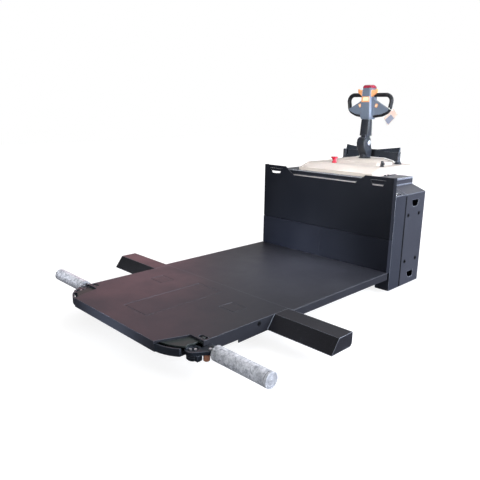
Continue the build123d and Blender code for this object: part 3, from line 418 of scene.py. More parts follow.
# Grip rubber is matt from handling, and its pores are deeper than a plastic's grain.
grip_rubber = moulded("grip_rubber", "#121419", "#1a1c22", 0.46, 1.4, grain_depth=0.0006, rim_wear_and_highlight="#34373e",
                      specular=0.3)
print("hood and tiller have their plastics")

# %% Seals, wheels, battery and card
# Seal rubber drinks up the light and is the darkest thing on the machine.
seal_rubber = moulded("epdm_seal_rubber", "#08090b", "#0d0e11", 0.62, 1.4, rim_wear_and_highlight="#15161a", specular=0.15)
wheel_rubber = moulded("tread_rubber", "#1c1b1b", "#2a2826", 0.62, 2.2, grain_depth=0.0008, rim_wear_and_highlight="#3a3836")  # dusty
# Cast polyurethane is amber and a little glossy where it rolls.
wheel_urethane = moulded("cast_polyurethane_amber", "#8a3f14", "#6b2f10", 0.35, 4.0, rim_wear_and_highlight="#b56a38")
battery_case = moulded("polypropylene_battery", "#25272b", "#303338", 0.5, 3.0, rim_wear_and_highlight="#55585e")      # waxy, dull
# The card's film is smooth over the print, with finger marks a few centimetres wide.
tag_card = moulded("laminated_card_blush", "#d8c3b8", "#cbb3a7", 0.35, 6.0, cloud_mm=30)
tag_print = moulded("laminated_card_grey_blue", "#868da0", "#7a8296", 0.35, 6.0, cloud_mm=30)
tie_nylon = moulded("nylon_natural", "#f2f2ee", "#e2e2dc", 0.4, 1.5)        # milky white strap
print("materials in all", len(bpy.data.materials))

# %% [markdown]
# ## Giving every CAD piece its finish
# A short table pairs each node with its material. Anything that ends in left or right shares a
# row, and a node that has no row stops the script, so none can stay plain.

# %% Finish table
FINISHES = {
    deck_coat: ["front_deck", "rear_deck"],
    hatch_coat: ["hatches"],
    beam_coat: ["cross_arms"],
    tray_coat: ["sector_plates"],
    panel_coat: ["upper_panel"],
    lower_panel_coat: ["lower_panels"],
    mast_coat: ["masts"],
    tower_coat: ["side_boxes"],
    frame_coat: ["corner_trays", "belly_plates", "load_forks", "drive_skirt", "frame_plates",
                 "guard", "drive_fork", "caster_fork"],
    bridge_coat: ["chassis_box"],
    arm_coat: ["swing_arm"],
    casting_coat: ["tiller_base", "tiller_column"],
    roller_zinc: ["roller"],
    plated_steel: ["arm_pins"],
    polished_steel: ["guide_rollers"],
    turned_bronze: ["thrust_bush"],
    hood_abs: ["front_hood", "rear_hood"],
    shelf_reflection_coat: ["panel_shelf"],
    latch_abs: ["hood_fittings"],
    button_red: ["stop_button"],
    cap_red: ["tiller_cap"],
    head_abs: ["tiller_head"],
    control_abs: ["tiller_controls"],
    grip_rubber: ["tiller_loop"],
    wheel_rubber: ["drive_wheel"],
    wheel_urethane: ["load_wheel", "caster_wheel"],
    battery_case: ["battery"],
}
finish_of = {node: material for material, nodes in FINISHES.items() for node in nodes}


def dress_node(name, piece):
    stem = name.removesuffix("_left").removesuffix("_right")
    piece.data.materials.clear()
    piece.data.materials.append(finish_of.get(name) or finish_of[stem])


for name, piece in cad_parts.items():
    dress_node(name, piece)
print("dressed", len(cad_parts), "nodes")

# %% [markdown]
# ## Measuring on the machine
# The machine was drawn from the deck's front edge backwards, so the small parts are placed by the
# same three numbers: x from the middle, the station behind the front edge, and the height above
# the floor, all in millimetres. One function turns them into the frame's metres. The left side
# mirrors the right, so most places are written once and multiplied by the side.

# %% Places
FRONT_EDGE = 1145   # the deck's front edge lies this far before the frame's origin
RIGHT, UP = (1, 0, 0), (0, 0, 1)
SIDES = (-1, 1)
SIDE_WORDS = ((-1, "left"), (1, "right"))
# Station and height of the axles and of the tiller's pivot pin.
ROLLER_AXLE, LOAD_AXLE = (175, 113), (522, 42)
DRIVE_AXLE, CASTER_AXLE = (2112, 115), (2225, 42)
TILLER_PIVOT = (2097, 900)


def at(x, station, height):
    return Vector((x, station - FRONT_EDGE, height)) / 1000


print("front edge is at y", at(0, 0, 0).y)

# %% [markdown]
# ## Finishing a piece
# Every new mesh ends the same way, so one function does it. Faces are shaded smooth, and edges that
# turn by more than a set angle are marked sharp, so curves look round and corners crisp. The
# piece is then told which body it rides on.

# %% Finished pieces
SMOOTH_BELOW = math.radians(38)


def finished(name, mesh, body):
    """A finished mesh becomes a piece that rides on a body: smooth on its curves, sharp on its edges."""
    mesh.shade_smooth()
    mesh.set_sharp_from_angle(angle=SMOOTH_BELOW)
    piece = bpy.data.objects.new(name, mesh)
    bpy.context.scene.collection.objects.link(piece)
    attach(piece, body)
    return piece


def finished_shape(name, shape, material, body):
    """The same for a shape that was built face by face."""
    mesh = bpy.data.meshes.new(name)
    shape.to_mesh(mesh)
    shape.free()
    mesh.materials.append(material)
    return finished(name, mesh, body)


print("edges turn sharp above", round(math.degrees(SMOOTH_BELOW)), "degrees")

# %% [markdown]
# ## Patterns with Geometry Nodes
# Bolts, knurls and weld beads are one small shape repeated. They could be copied in a loop, but a
# Geometry Nodes tree keeps the rule in one place: a plain guide mesh, whose points or edges say
# where, and named sizes that say how large. The result is turned into one ordinary mesh for each
# body, because an export drops instances.


# %% Pattern trees
def new_pattern(name, sizes):
    """Tree with a guide input, named number inputs, a material input and a geometry output."""
    tree = bpy.data.node_groups.new(name, "GeometryNodeTree")
    tree.interface.new_socket("Guide", in_out="INPUT", socket_type="NodeSocketGeometry")
    for label in sizes:
        tree.interface.new_socket(label, in_out="INPUT", socket_type="NodeSocketFloat")
    tree.interface.new_socket("Material", in_out="INPUT", socket_type="NodeSocketMaterial")
    tree.interface.new_socket("Geometry", in_out="OUTPUT", socket_type="NodeSocketGeometry")
    return tree, tree.nodes.new("NodeGroupInput").outputs


def end_pattern(tree, geometry, material):
    """Every pattern ends the same way: real geometry, its material, the output."""
    real = add_node(tree, "GeometryNodeRealizeInstances", {0: geometry})
    painted = add_node(tree, "GeometryNodeSetMaterial", {"Geometry": real.outputs[0], "Material": material})
    add_node(tree, "NodeGroupOutput", {0: painted.outputs[0]})


def grow(name, guide, tree, sizes, material, body):
    """Run a pattern over its guide and keep the result as one plain mesh on a body."""
    holder = bpy.data.objects.new(name + "_guide", guide)
    bpy.context.scene.collection.objects.link(holder)
    modifier = holder.modifiers.new("pattern", "NODES")
    modifier.node_group = tree
    for item in tree.interface.items_tree:
        if item.in_out == "INPUT" and item.name in sizes:
            modifier[item.identifier] = float(sizes[item.name])
        if item.in_out == "INPUT" and item.name == "Material":
            modifier[item.identifier] = material
    depsgraph = bpy.context.evaluated_depsgraph_get()
    mesh = bpy.data.meshes.new_from_object(holder.evaluated_get(depsgraph), depsgraph=depsgraph)
    bpy.data.objects.remove(holder)
    mesh.name = name
    return finished(name, mesh, body)


print("patterns end in plain meshes")


# %% Guides
def point_guide(name, spots):
    """Guide of loose points. Each spot is a place and the direction it faces."""
    mesh = bpy.data.meshes.new(name + "_points")
    mesh.from_pydata([spot for spot, _ in spots], [], [])
    facing = mesh.attributes.new("facing", "FLOAT_VECTOR", "POINT")
    facing.data.foreach_set("vector", [value for _, way in spots for value in way])
    return mesh


def line_guide(name, lines):
    """Guide of edges. Each line is a list of places."""
    places, edges = [], []
    for line in lines:
        first = len(places)
        places += line
        edges += [(first + i, first + i + 1) for i in range(len(line) - 1)]
    mesh = bpy.data.meshes.new(name + "_lines")
    mesh.from_pydata(places, edges, [])
    return mesh


print("guides are points or lines")

# %% [markdown]
# ## Hexagon bolts
# A real head is a hexagon whose top corners are turned off at about thirty degrees, on a flat round
# washer. Three cones with straight or sloped sides stack up to that shape. Each is set on a guide
# point, turned to face away from its plate, and spun by a random but fixed angle, because nobody
# tightens bolts to the same angle.

# %% Sizes inside the bolt
CORNER_SHARE = 0.577    # a hexagon's corner radius, as a share of the width across its flats
bolt_tree, given = new_pattern("hex_bolts", ["Across flats", "Head height", "Washer height"])
flats, head_h, washer_h = given["Across flats"], given["Head height"], given["Washer height"]
corner_r = add_node(bolt_tree, "ShaderNodeMath", {0: flats, 1: CORNER_SHARE}, operation="MULTIPLY").outputs[0]
washer_r = add_node(bolt_tree, "ShaderNodeMath", {0: flats, 1: 0.95}, operation="MULTIPLY").outputs[0]
top_r = add_node(bolt_tree, "ShaderNodeMath", {0: flats, 1: 0.47}, operation="MULTIPLY").outputs[0]
shank_h = add_node(bolt_tree, "ShaderNodeMath", {0: head_h, 1: 0.78}, operation="MULTIPLY").outputs[0]
bevel_h = add_node(bolt_tree, "ShaderNodeMath", {0: head_h, 1: 0.22}, operation="MULTIPLY").outputs[0]
bevel_z = add_node(bolt_tree, "ShaderNodeMath", {0: shank_h, 1: washer_h}, operation="ADD").outputs[0]
print("a 13 mm head is", round(2 * 13 * CORNER_SHARE, 1), "mm over its corners")

# %% Bolt shape
washer = add_node(bolt_tree, "GeometryNodeMeshCone", {
    "Vertices": 24, "Radius Top": washer_r, "Radius Bottom": washer_r, "Depth": washer_h})
head = add_node(bolt_tree, "GeometryNodeMeshCone", {
    "Vertices": 6, "Radius Top": corner_r, "Radius Bottom": corner_r, "Depth": shank_h})
crown = add_node(bolt_tree, "GeometryNodeMeshCone", {
    "Vertices": 6, "Radius Top": top_r, "Radius Bottom": corner_r, "Depth": bevel_h})
head_place = add_node(bolt_tree, "ShaderNodeCombineXYZ", {"Z": washer_h})
crown_place = add_node(bolt_tree, "ShaderNodeCombineXYZ", {"Z": bevel_z})
head_up = add_node(bolt_tree, "GeometryNodeTransform", {
    "Geometry": head.outputs[0], "Translation": head_place.outputs[0]})
crown_up = add_node(bolt_tree, "GeometryNodeTransform", {
    "Geometry": crown.outputs[0], "Translation": crown_place.outputs[0]})
bolt = bolt_tree.nodes.new("GeometryNodeJoinGeometry")
for part in (washer.outputs[0], head_up.outputs[0], crown_up.outputs[0]):
    bolt_tree.links.new(part, bolt.inputs[0])
print("washer, head and crown are joined")

# %% Bolts on their points
BOLT_SEED = 7
facing = add_node(bolt_tree, "GeometryNodeInputNamedAttribute", {"Name": "facing"}, data_type="FLOAT_VECTOR")
outward = add_node(bolt_tree, "FunctionNodeAlignRotationToVector", {"Vector": facing.outputs[0]}, axis="Z")
angle = add_node(bolt_tree, "FunctionNodeRandomValue", {"Min": 0.0, "Max": 6.283, "Seed": BOLT_SEED},
                 data_type="FLOAT")
twist = add_node(bolt_tree, "FunctionNodeAxisAngleToRotation", {"Axis": (0, 0, 1), "Angle": angle.outputs[1]})
turned = add_node(bolt_tree, "FunctionNodeRotateRotation", {
    "Rotation": outward.outputs[0], "Rotate By": twist.outputs[0]}, rotation_space="LOCAL")
placed = add_node(bolt_tree, "GeometryNodeInstanceOnPoints", {
    "Points": given["Guide"], "Instance": bolt.outputs[0], "Rotation": turned.outputs[0]})
end_pattern(bolt_tree, placed.outputs[0], given["Material"])
print("bolt pattern has", len(bolt_tree.nodes), "nodes")

# %% [markdown]
# ## Where the bolts are
# Four black bolts on each tower hold the side box to the mast, and low ones hold the belly plates
# and the skirt. A large plated one closes the tiller's pivot pin on each side. Plated nuts hold
# the drive wheel, the load wheels and the casters on their axles, and a bolt sits in each
# roller's end. Places read off the steel parts are typed in, as a rule would fit only a few.


# %% Bolts on the towers and the tiller
def bolts(name, spots, body, flats, height, washer, material):
    sizes = {"Across flats": flats / 1000, "Head height": height / 1000, "Washer height": washer / 1000}
    return grow(name, point_guide(name, spots), bolt_tree, sizes, material, body)


TOWER_BOLTS = [(1826, 484), (1964, 483), (1832, 182), (1972, 181)]      # station and height
tower_spots = [(at(side * 525, y, z), (side, 0, 0)) for side in SIDES for y, z in TOWER_BOLTS]
bolts("tower_bolts", tower_spots, "chassis", 13, 5, 1.5, black_steel)
pivot_spots = [(at(side * 39, *TILLER_PIVOT), (side, 0, 0)) for side in SIDES]
bolts("pivot_bolts", pivot_spots, "drive_unit", 19, 7, 2, plated_steel)
print("bolts on towers and tiller", len(tower_spots), len(pivot_spots))

# %% Bolts on the belly and the skirt
# x and station. The first front bolt is on the middle line, so only the right side counts it.
ARM_FRONT_BOLTS = [(0, 40), (300, 40), (160, 300), (460, 460), (120, 540)]
REAR_PLATE_BOLTS = [(500, 745), (500, 960), (500, 1175), (500, 1390), (500, 1590), (170, 745), (170, 1590)]
belly_spots = [(at(side * x, y, 97.5), (0, 0, -1)) for side in SIDES for x, y in ARM_FRONT_BOLTS[side < 0:]]
belly_spots += [(at(side * x, y, 105), (0, 0, -1)) for side in SIDES for x, y in REAR_PLATE_BOLTS]
bolts("belly_bolts", belly_spots, "chassis", 13, 3.5, 1.2, black_steel)
skirt_spots = [(at(side * 300, y, z), (side, 0, 0)) for side in SIDES for y in (2062, 2200) for z in (120, 330, 560)]
bolts("skirt_bolts", skirt_spots, "chassis", 10, 3.5, 1.2, black_steel)
print("bolts on belly and skirt", len(belly_spots), len(skirt_spots))

# %% Nuts on the axles
fork_spots = [(at(side * 53, *DRIVE_AXLE), (side, 0, 0)) for side in SIDES]
bolts("drive_axle_nuts", fork_spots, "drive_unit", 30, 8, 2, plated_steel)
load_spots = [(at(side * 301 + way * 49, *LOAD_AXLE), (way, 0, 0)) for side in SIDES for way in SIDES]
bolts("load_axle_nuts", load_spots, "chassis", 19, 5, 1, plated_steel)
for side, word in SIDE_WORDS:
    caster_spots = [(at(side * 212 + way * 24, *CASTER_AXLE), (way, 0, 0)) for way in SIDES]
    bolts("caster_nuts_" + word, caster_spots, "caster_" + word, 19, 5, 1, plated_steel)
    end_spot = [(at(side * 878.4, *ROLLER_AXLE), (side, 0, 0))]
    bolts("roller_bolt_" + word, end_spot, "roller_body_" + word, 13, 1.8, 0.5, cap_zinc_painted_shade)
print("nuts on drive and load wheels", len(fork_spots), len(load_spots))

# %% [markdown]
# ## Knurled bushes
# The bronze bush under each arm is turned by hand when the arm is set up, so a knurling tool has
# rolled ribs into it. Bump alone would leave its outline smooth, so the ribs are real: the guide is
# a circle of points that face outwards, and each gets a thin upright rib, sunk into the bush.

# %% Knurl pattern
knurl_tree, given = new_pattern("knurl_ribs", ["Rib width", "Rib depth", "Rib height"])
rib_size = add_node(knurl_tree, "ShaderNodeCombineXYZ", {
    "X": given["Rib depth"], "Y": given["Rib width"], "Z": given["Rib height"]})
rib = add_node(knurl_tree, "GeometryNodeMeshCube", {"Size": rib_size.outputs[0]})
facing = add_node(knurl_tree, "GeometryNodeInputNamedAttribute", {"Name": "facing"}, data_type="FLOAT_VECTOR")
outward = add_node(knurl_tree, "FunctionNodeAlignRotationToVector", {"Vector": facing.outputs[0]},
                   axis="X", pivot_axis="Z")
placed = add_node(knurl_tree, "GeometryNodeInstanceOnPoints", {
    "Points": given["Guide"], "Instance": rib.outputs[0], "Rotation": outward.outputs[0]})
end_pattern(knurl_tree, placed.outputs[0], given["Material"])
print("knurl pattern has", len(knurl_tree.nodes), "nodes")

# %% Knurls on both bushes
RIBS = 26
BUSH_RADIUS = 14
RIB_SIZES = {"Rib width": 0.0017, "Rib depth": 0.0014, "Rib height": 0.022}


def knurl(name, middle, body):
    ways = [Vector((math.cos(a), math.sin(a), 0)) for a in (2 * math.pi * i / RIBS for i in range(RIBS))]
    guide = point_guide(name, [(middle + way * BUSH_RADIUS / 1000, way) for way in ways])
    return grow(name, guide, knurl_tree, RIB_SIZES, turned_bronze, body)


for side, word in SIDE_WORDS:
    knurl("bush_knurl_" + word, at(side * 534, 146, 92), "arm_" + word)
print("ribs on each bush", RIBS)

# %% [markdown]
# ## Weld beads
# Where a cross arm meets the deck's side a welder has run a bead down the slanted corner. A bead is
# a row of overlapping frozen drops, like coins pushed over. A smooth tube would be simpler, but
# the tree walks along the guide line in even steps and sets a small squashed ball at each, so the
# bead has its ripple up close and is a light line from afar. Its pale coat is a painted highlight of
# the lit corner.

# %% Weld pattern
weld_tree, given = new_pattern("weld_bead", ["Bead width", "Step"])
line = add_node(weld_tree, "GeometryNodeMeshToCurve", {0: given["Guide"]})
steps = add_node(weld_tree, "GeometryNodeCurveToPoints", {0: line.outputs[0], "Length": given["Step"]}, mode="LENGTH")
drop = add_node(weld_tree, "GeometryNodeMeshUVSphere", {"Segments": 10, "Rings": 6, "Radius": 1.0})
half_width = add_node(weld_tree, "ShaderNodeMath", {0: given["Bead width"], 1: 0.5}, operation="MULTIPLY").outputs[0]
drop_size = add_node(weld_tree, "ShaderNodeCombineXYZ", {"X": half_width, "Y": half_width, "Z": given["Step"]})
placed = add_node(weld_tree, "GeometryNodeInstanceOnPoints", {
    "Points": steps.outputs["Points"], "Instance": drop.outputs[0],
    "Rotation": steps.outputs["Rotation"], "Scale": drop_size.outputs[0]})
end_pattern(weld_tree, placed.outputs[0], given["Material"])
print("weld pattern has", len(weld_tree.nodes), "nodes")

# %% Welds at the cross arms
WELD_SIZES = {"Bead width": 0.0055, "Step": 0.0028}
arm_lines = [[at(side * 500.5, 612, 148), at(side * 500.5, 563, 84)] for side in SIDES]
grow("cross_arm_highlight_welds", line_guide("cross_arm_highlight_welds", arm_lines), weld_tree, WELD_SIZES, weld_highlight_coat,
     "chassis")
print("weld lines", len(arm_lines))

# %% [markdown]
# ## Turned parts
# Caps, rings and boots are round, so each is a short profile turned about an axis, as on a lathe. A
# profile that starts and ends on the axis makes a solid; one that closes on itself makes a ring.
# Turning can leave a shape inside out, so its normals are worked out again.


# %% Lathe
def spun(name, profile, base, axis, material, body, steps=48):
    """Turn a profile of (radius, height) in millimetres about an axis through base."""
    shape = bmesh.new()
    verts = [shape.verts.new((r / 1000, 0, h / 1000)) for r, h in profile]
    edges = [shape.edges.new(pair) for pair in zip(verts, verts[1:])]
    bmesh.ops.spin(shape, geom=verts + edges, cent=(0, 0, 0), axis=(0, 0, 1), angle=math.tau, steps=steps)
    bmesh.ops.remove_doubles(shape, verts=shape.verts, dist=1e-6)
    bmesh.ops.recalc_face_normals(shape, faces=shape.faces)
    turn = Vector(axis).to_track_quat("Z", "Y").to_matrix().to_4x4()
    shape.transform(Matrix.Translation(base) @ turn)
    return finished_shape(name, shape, material, body)


print("lathe ready")

# %% [markdown]
# ## Roller ends, lashing holes, key and boot
# Each roller is closed by a pressed cap with raised rings, and a thin dark ring runs round the tube
# beside it. A rubber ring lines the lashing hole in each side of the deck. A round cap sits on the
# right of the key switch, and a ribbed rubber boot closes the gap at the tiller's neck.

# %% Turned parts on the machine
CAP = [(0, 0), (29.6, 0), (29.6, 0.9), (28.6, 1.5), (24.0, 1.5), (23.2, 0.8), (12.5, 0.8), (11.5, 1.4), (0, 1.4)]
END_RING = [(34.6, 0), (35.3, 0.2), (35.3, 1.6), (34.6, 1.8), (34.6, 0)]
GROMMET = [(7.2, -0.5), (11.5, 0), (12.0, 0.8), (10.6, 1.6), (7.2, 1.2), (7.2, -0.5)]
LASH_HOLE = (505, 129)      # station and height
for side, word in SIDE_WORDS:
    out, roller = (side, 0, 0), "roller_body_" + word
    spun("roller_cap_" + word, CAP, at(side * 877, *ROLLER_AXLE), out, cap_zinc_painted_shade, roller)
    spun("roller_ring_" + word, END_RING, at(side * 866, *ROLLER_AXLE), out, black_steel, roller,
         64)
    spun("lash_grommet_" + word, GROMMET, at(side * 500, *LASH_HOLE), out, seal_rubber, "chassis",
         32)

KEY_CAP = [(0, 0), (9, 0), (11, 3), (11.5, 9), (9.5, 14), (5, 16.5), (0, 17)]
spun("key_cap", KEY_CAP, at(254, 1930, 781), (0.86, -0.45, -0.25), latch_abs, "chassis", 32)
BOOT = [(30, 0), (44, 0), (45, 2.5), (39, 4.5), (42, 6.5), (36.5, 8.5), (39, 10.5), (34, 12.5), (30, 12.5), (30, 0)]
spun("neck_boot", BOOT, at(0, 2112, 789.6), UP, grip_rubber, "chassis")
print("turned parts ready")

# %% [markdown]
# ## Flat parts
# Covers, strips, buttons and the card are plates cut to an outline. A cube with cut corners would
# do for some, but one function fits them all: it lays an outline on the plane of two directions
# and thickens it. It can punch a round hole, as for the card's tie, and round off the edges.


# %% Plates
def rounded(width, height, corner, steps=5):
    """Rectangle with rounded corners as (across, up) points in millimetres."""
    points = []
    for sx, sy, first in ((1, 1, 0), (-1, 1, 90), (-1, -1, 180), (1, -1, 270)):
        for i in range(steps + 1):
            a = math.radians(first + 90 * i / steps)
            points.append((sx * (width / 2 - corner) + corner * math.cos(a),
                           sy * (height / 2 - corner) + corner * math.sin(a)))
    return points


def plate(name, outline, thickness, centre, across, up, material, body, hole=None, bevel=0):
    """Plate of an outline around centre. It thickens towards across x up. A hole is (across, up, radius)."""
    across, up = Vector(across).normalized(), Vector(up).normalized()
    loops = [outline]
    if hole:
        turn = [math.tau * i / 20 for i in range(20)]
        loops.append([(hole[0] + hole[2] * math.cos(a), hole[1] + hole[2] * math.sin(a)) for a in turn])
    shape = bmesh.new()
    edges = []
    for loop in loops:
        ring = [shape.verts.new(centre + (across * u + up * v) / 1000) for u, v in loop]
        edges += [shape.edges.new((ring[i - 1], ring[i])) for i in range(len(ring))]
    filled = bmesh.ops.triangle_fill(shape, edges=edges, use_beauty=True, use_dissolve=False)
    faces = [g for g in filled["geom"] if isinstance(g, bmesh.types.BMFace)]
    raised = bmesh.ops.extrude_face_region(shape, geom=faces)
    tops = [g for g in raised["geom"] if isinstance(g, bmesh.types.BMVert)]
    bmesh.ops.translate(shape, verts=tops, vec=across.cross(up) * thickness / 1000)
    bmesh.ops.recalc_face_normals(shape, faces=shape.faces)
    if bevel:
        folds = [edge for edge in shape.edges if edge.calc_face_angle(0) > SMOOTH_BELOW]
        bmesh.ops.bevel(shape, geom=folds, offset=bevel / 1000, segments=3, profile=0.5, affect="EDGES",
                        clamp_overlap=True)
    return finished_shape(name, shape, material, body)


print("plates ready")

# %% [markdown]
# ## Cover, strips and lips
# The steel column of the tiller is boxed in by a cast cover as wide as its foot, tapered and with
# soft edges. A rubber strip fills the joint between each mast and its side box, and the box beside
# the hood ends in folded lips that are painted pale, a painted highlight that shows as two pale
# lines on each side.

# %% Plates on the power unit and the column
# The cover's outline gives distance behind and height above the pivot pin.
COLUMN_COVER = [(-12, 162.5), (27, 162.5), (30, 124), (35.8, 48), (-22.8, 48), (-16, 124)]
COVER_WIDTH = 64
plate("column_cover", COLUMN_COVER, COVER_WIDTH, at(-COVER_WIDTH / 2, *TILLER_PIVOT), (0, 1, 0), UP,
      casting_coat, "tiller", bevel=3)
LIP_HEIGHTS = (698, 664)
for side, word in SIDE_WORDS:
    aft = (0, side, 0)      # across an upright plate that thickens away from the machine
    plate("tower_seal_" + word, rounded(12, 588, 3), 1.4, at(side * 524.9, 1785, 318), aft, UP,
          seal_rubber, "chassis")
    # The lips are pale plates, a painted highlight along the box's folds.
    for height in LIP_HEIGHTS:
        plate(f"bridge_highlight_lip_{height}_{word}", rounded(300, 6, 2.5), 3, at(side * 428.5, 1868, height), aft, UP,
              lip_highlight_coat, "chassis", bevel=1)
print("lips on each side", len(LIP_HEIGHTS))

# %% [markdown]
# ## Display and buttons
# The display sits in its orange frame on the head's front. Each wing carries a small button in an
# orange surround, which both lean with the wing, and pale panels are let into the head's sides.

# %% Plates on the tiller head
BUTTON_LEAN, HEAD_TAPER = 0.42, 0.055       # sideways shift for each step up
plate("display_lens", rounded(44, 25, 3), 1.4, at(4, 2066.2, 1201), RIGHT, UP, lens_cream, "tiller")
for side, word in SIDE_WORDS:
    across, lean = (1, 0, -side * BUTTON_LEAN), (side * BUTTON_LEAN, 0, 1)
    plate("wing_pod_" + word, rounded(17, 25, 4), 8, at(side * 66, 2112.5, 1157), across, lean,
          control_abs, "tiller")
    plate("wing_button_" + word, rounded(8.5, 14, 3), 1.6, at(side * 66, 2104.6, 1157), across, lean,
          lens_cream, "tiller")
    plate("head_insert_" + word, rounded(56, 42, 8), 1.5, at(side * 34.5, 2106, 1238), (0, side, 0),
          (-side * HEAD_TAPER, 0, 1), insert_abs, "tiller")
print("tiller head has its small plates")

# %% [markdown]
# ## The card on its tie
# A two-tone laminated card hangs from the loop by a cable tie. The card is stiff, so it is a plain
# plate with a punched hole and not a cloth; its grey half is a second plate, a little thicker, so
# that it shows on both sides. The tie is a flat strap, so four corners are carried round an oval
# that passes round the tube and through the hole.

# %% Card
# Corners and hole are x and height. Both plates are centred on the plane of the loop.
CARD = [(189, 1137), (223, 1098), (156, 1023), (120, 1072)]
PRINT = [(173, 1099), (198, 1074), (158, 1029), (131, 1061)]
HOLE = (185.4, 1125.5)
LOOP_STATION = 2128
plate("tag_card", CARD, 0.6, at(0, LOOP_STATION + 0.3, 0), RIGHT, UP, tag_card, "tiller",
      hole=(*HOLE, 3.0))
plate("tag_print", PRINT, 1.0, at(0, LOOP_STATION + 0.5, 0), RIGHT, UP, tag_print, "tiller")
print("card hangs at", HOLE)

# %% Tie
TUBE = (161.5, 1139)                        # where the tie holds the loop's tube, 14 mm in radius
BESIDE_TUBE, BEHIND_TUBE = 15.9, 15.8       # from the tube's middle to the strap's
TIE_WIDTH, TIE_THICKNESS, TIE_STEPS = 2.8, 1.0, 40


def tie_strap(name):
    """Closed strap round the loop's tube and through the card's hole."""
    along = (Vector((HOLE[0], 0, HOLE[1])) - Vector((TUBE[0], 0, TUBE[1])))
    reach = along.length
    along.normalize()
    back = Vector((0, 1, 0))
    wide = along.cross(back)
    middle, half = (reach - BEHIND_TUBE) / 2, (reach + BEHIND_TUBE) / 2
    corners = [(-1, -1), (1, -1), (1, 1), (-1, 1)]
    shape = bmesh.new()
    rows = []
    for i in range(TIE_STEPS):
        a = math.tau * i / TIE_STEPS
        oval = along * (middle + half * math.cos(a)) + back * BESIDE_TUBE * math.sin(a)
        spot = at(TUBE[0], LOOP_STATION, TUBE[1]) + oval / 1000
        away = (along * math.cos(a) * BESIDE_TUBE + back * math.sin(a) * half).normalized()
        rows.append([shape.verts.new(spot + (wide * u * TIE_WIDTH / 2 + away * v * TIE_THICKNESS / 2) / 1000)
                     for u, v in corners])
    for one, two in zip(rows, rows[1:] + rows[:1]):
        for k in range(4):
            shape.faces.new((one[k], one[k - 1], two[k - 1], two[k]))
    bmesh.ops.recalc_face_normals(shape, faces=shape.faces)
    return finished_shape(name, shape, tie_nylon, "tiller")


tie_strap("tag_tie")
plate("tag_tie_lock", rounded(6, 5, 1), 4, at(164, 2114, 1140), (0.87, 0, -0.49), (0.49, 0, 0.87), tie_nylon,
      "tiller")
print("tie is", TIE_WIDTH, "mm wide")

# %% [markdown]
# ## The floor
# The paper is white and bright, but only as the eye sees it: for the light that bounces back onto
# the machine it counts as mid grey, as dark coats near white paper would turn milky. The paper
# also glows by itself, more so further out, so that its far edge melts into the white air and
# the shadow under the machine stays faint.

# %% Paper floor
PAPER_REACH = 14                    # metres from the middle to each edge
GLOW_FROM, GLOW_FULL = 1.6, 3.5     # metres from the middle
PAPER_CLOUD_MM = 900


def bounce_or_seen(tree, bounce, seen):
    """Mix of two shaders: one for light that bounces, one for what is looked at directly."""
    ray = add_node(tree, "ShaderNodeLightPath")
    mix = add_node(tree, "ShaderNodeMixShader", {0: ray.outputs["Is Camera Ray"]})
    tree.links.new(bounce, mix.inputs[1])
    tree.links.new(seen, mix.inputs[2])
    return mix.outputs[0]


def studio_floor(size):
    mesh = bpy.data.meshes.new("studio_floor")
    mesh.from_pydata([(-size, -size, 0), (size, -size, 0), (size, size, 0), (-size, size, 0)], [], [(0, 1, 2, 3)])
    floor = bpy.data.objects.new("studio_floor", mesh)
    bpy.context.scene.collection.objects.link(floor)
    material, tree = new_material("studio_paper")
    place = add_node(tree, "ShaderNodeTexCoord").outputs["Object"]
    paper = add_node(tree, "ShaderNodeTexNoise", {
        "Vector": place, "Scale": per_metre(PAPER_CLOUD_MM), "Detail": 3.0})
    tint = add_node(tree, "ShaderNodeMix", {0: paper.outputs[0], 6: linear("#9a9a9a"), 7: linear("#969697")},
                    data_type="RGBA")
    grey = add_node(tree, "ShaderNodeBsdfDiffuse", {"Color": linear("#5e5e60")})
    lit = add_node(tree, "ShaderNodeBsdfDiffuse", {"Color": tint.outputs[2]})
    apart = add_node(tree, "ShaderNodeVectorMath", {0: place}, operation="LENGTH")
    far = add_node(tree, "ShaderNodeMapRange", {
        "Value": apart.outputs["Value"], "From Min": GLOW_FROM, "From Max": GLOW_FULL, "To Min": 0.84, "To Max": 1.0})
    glow = add_node(tree, "ShaderNodeEmission", {"Color": linear("#ffffff"), "Strength": far.outputs[0]})
    white = add_node(tree, "ShaderNodeAddShader", {0: lit.outputs[0], 1: glow.outputs[0]})
    add_node(tree, "ShaderNodeOutputMaterial", {"Surface": bounce_or_seen(tree, grey.outputs[0], white.outputs[0])})
    mesh.materials.append(material)


studio_floor(PAPER_REACH)
print("paper is", 2 * PAPER_REACH, "m wide")

# %% [markdown]
# ## The lamps
# The key lamp stands low on the machine's right, behind the line of its front faces, so the sides
# and tops are lit and the faces that look forward stay dark. A broad lamp above and behind fills
# the tops, and a weak rose one on the left makes the warm sheen on the deck. A brighter key would
# burn more of the hood white, so narrow weak lamps pick out what sinks into the dark: the deck by
# the panel, the tiller from two sides, both rollers and the deck's front edge.

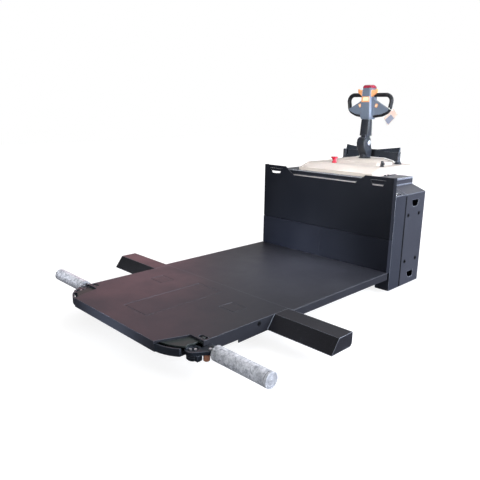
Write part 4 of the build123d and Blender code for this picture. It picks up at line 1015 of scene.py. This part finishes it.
# %% Lamps
LAMPS = [
    # name, place, aim, watts, size in metres, spread in degrees, colour
    ("key_right", (4.4, 1.1, 1.5), (0, 0.3, 0.4), 330, 2.0, 180, "#eaf0ff"),
    ("top_rear", (0.3, 2.2, 3.9), (0, 0.1, 0.3), 104, 3.0, 180, "#fbfbff"),
    ("deck_rear", (0.0, 0.3, 3.4), (0.1, 0.15, 0.1), 2.6, 0.5, 22, "#f4f6ff"),
    ("rose_left", (-3.8, 1.4, 1.5), (0, -0.4, 0.2), 12, 1.8, 180, "#ffa6b4"),
    ("head_front", (0.9, -3.6, 1.6), (0.0, 0.75, 1.0), 7, 0.8, 26, "#ffffff"),
    ("tiller_right", (3.8, 1.5, 1.2), (0.0, 0.98, 0.96), 3.2, 0.5, 13, "#eef3ff"),
    ("roller_left", (-1.9, -3.2, 1.6), (-0.78, -0.99, 0.12), 0.5, 0.4, 12, "#f2f5ff"),
    ("roller_right", (1.5, -3.6, 0.7), (0.76, -0.99, 0.10), 0.3, 0.4, 11, "#f4f7ff"),
    ("front_edge", (0.3, -4.2, 0.25), (-0.02, -1.145, 0.12), 2.2, 0.3, 15, "#e8f0ff"),
]


def studio_lamp(name, place, aim, watts, size, spread, colour):
    data = bpy.data.lights.new(name, "AREA")
    data.energy = watts
    data.size = size
    data.spread = math.radians(spread)
    data.color = linear(colour)[:3]
    lamp = bpy.data.objects.new(name, data)
    bpy.context.scene.collection.objects.link(lamp)
    way = Vector(aim) - Vector(place)
    lamp.matrix_world = Matrix.Translation(place) @ way.to_track_quat("-Z", "Y").to_matrix().to_4x4()


for row in LAMPS:
    studio_lamp(*row)
print("lamps", len(LAMPS))

# %% [markdown]
# ## The air
# The air is white to look at. As light it is uneven, dim from the front and brighter from above and
# behind, like a hall with a window at its back. An even white air would be simpler, but it
# would lift the forward faces out of their near black.

# %% World
AIR_STRENGTH = 0.8
BRIGHT_WAY = (0.40, 0.38, 0.83)     # direction in which the air is brightest


def studio_world():
    world = bpy.data.worlds.new("studio_air")
    bpy.context.scene.world = world
    world.use_nodes = True
    tree = world.node_tree
    tree.nodes.clear()
    way = add_node(tree, "ShaderNodeTexCoord").outputs["Generated"]
    side = add_node(tree, "ShaderNodeVectorMath", {0: way, 1: BRIGHT_WAY}, operation="DOT_PRODUCT")
    share = add_node(tree, "ShaderNodeMapRange", {
        "Value": side.outputs["Value"], "From Min": -0.3, "From Max": 1.0, "To Min": 0.16, "To Max": 1.0})
    power = add_node(tree, "ShaderNodeMath", {0: share.outputs[0], 1: AIR_STRENGTH}, operation="MULTIPLY")
    light = add_node(tree, "ShaderNodeBackground", {"Color": linear("#ffffff"), "Strength": power.outputs[0]})
    white = add_node(tree, "ShaderNodeBackground", {"Color": linear("#ffffff"), "Strength": 1.0})
    add_node(tree, "ShaderNodeOutputWorld", {"Surface": bounce_or_seen(tree, light.outputs[0], white.outputs[0])})


studio_world()
bpy.context.scene.view_settings.view_transform = "Standard"
print("air strength", AIR_STRENGTH)
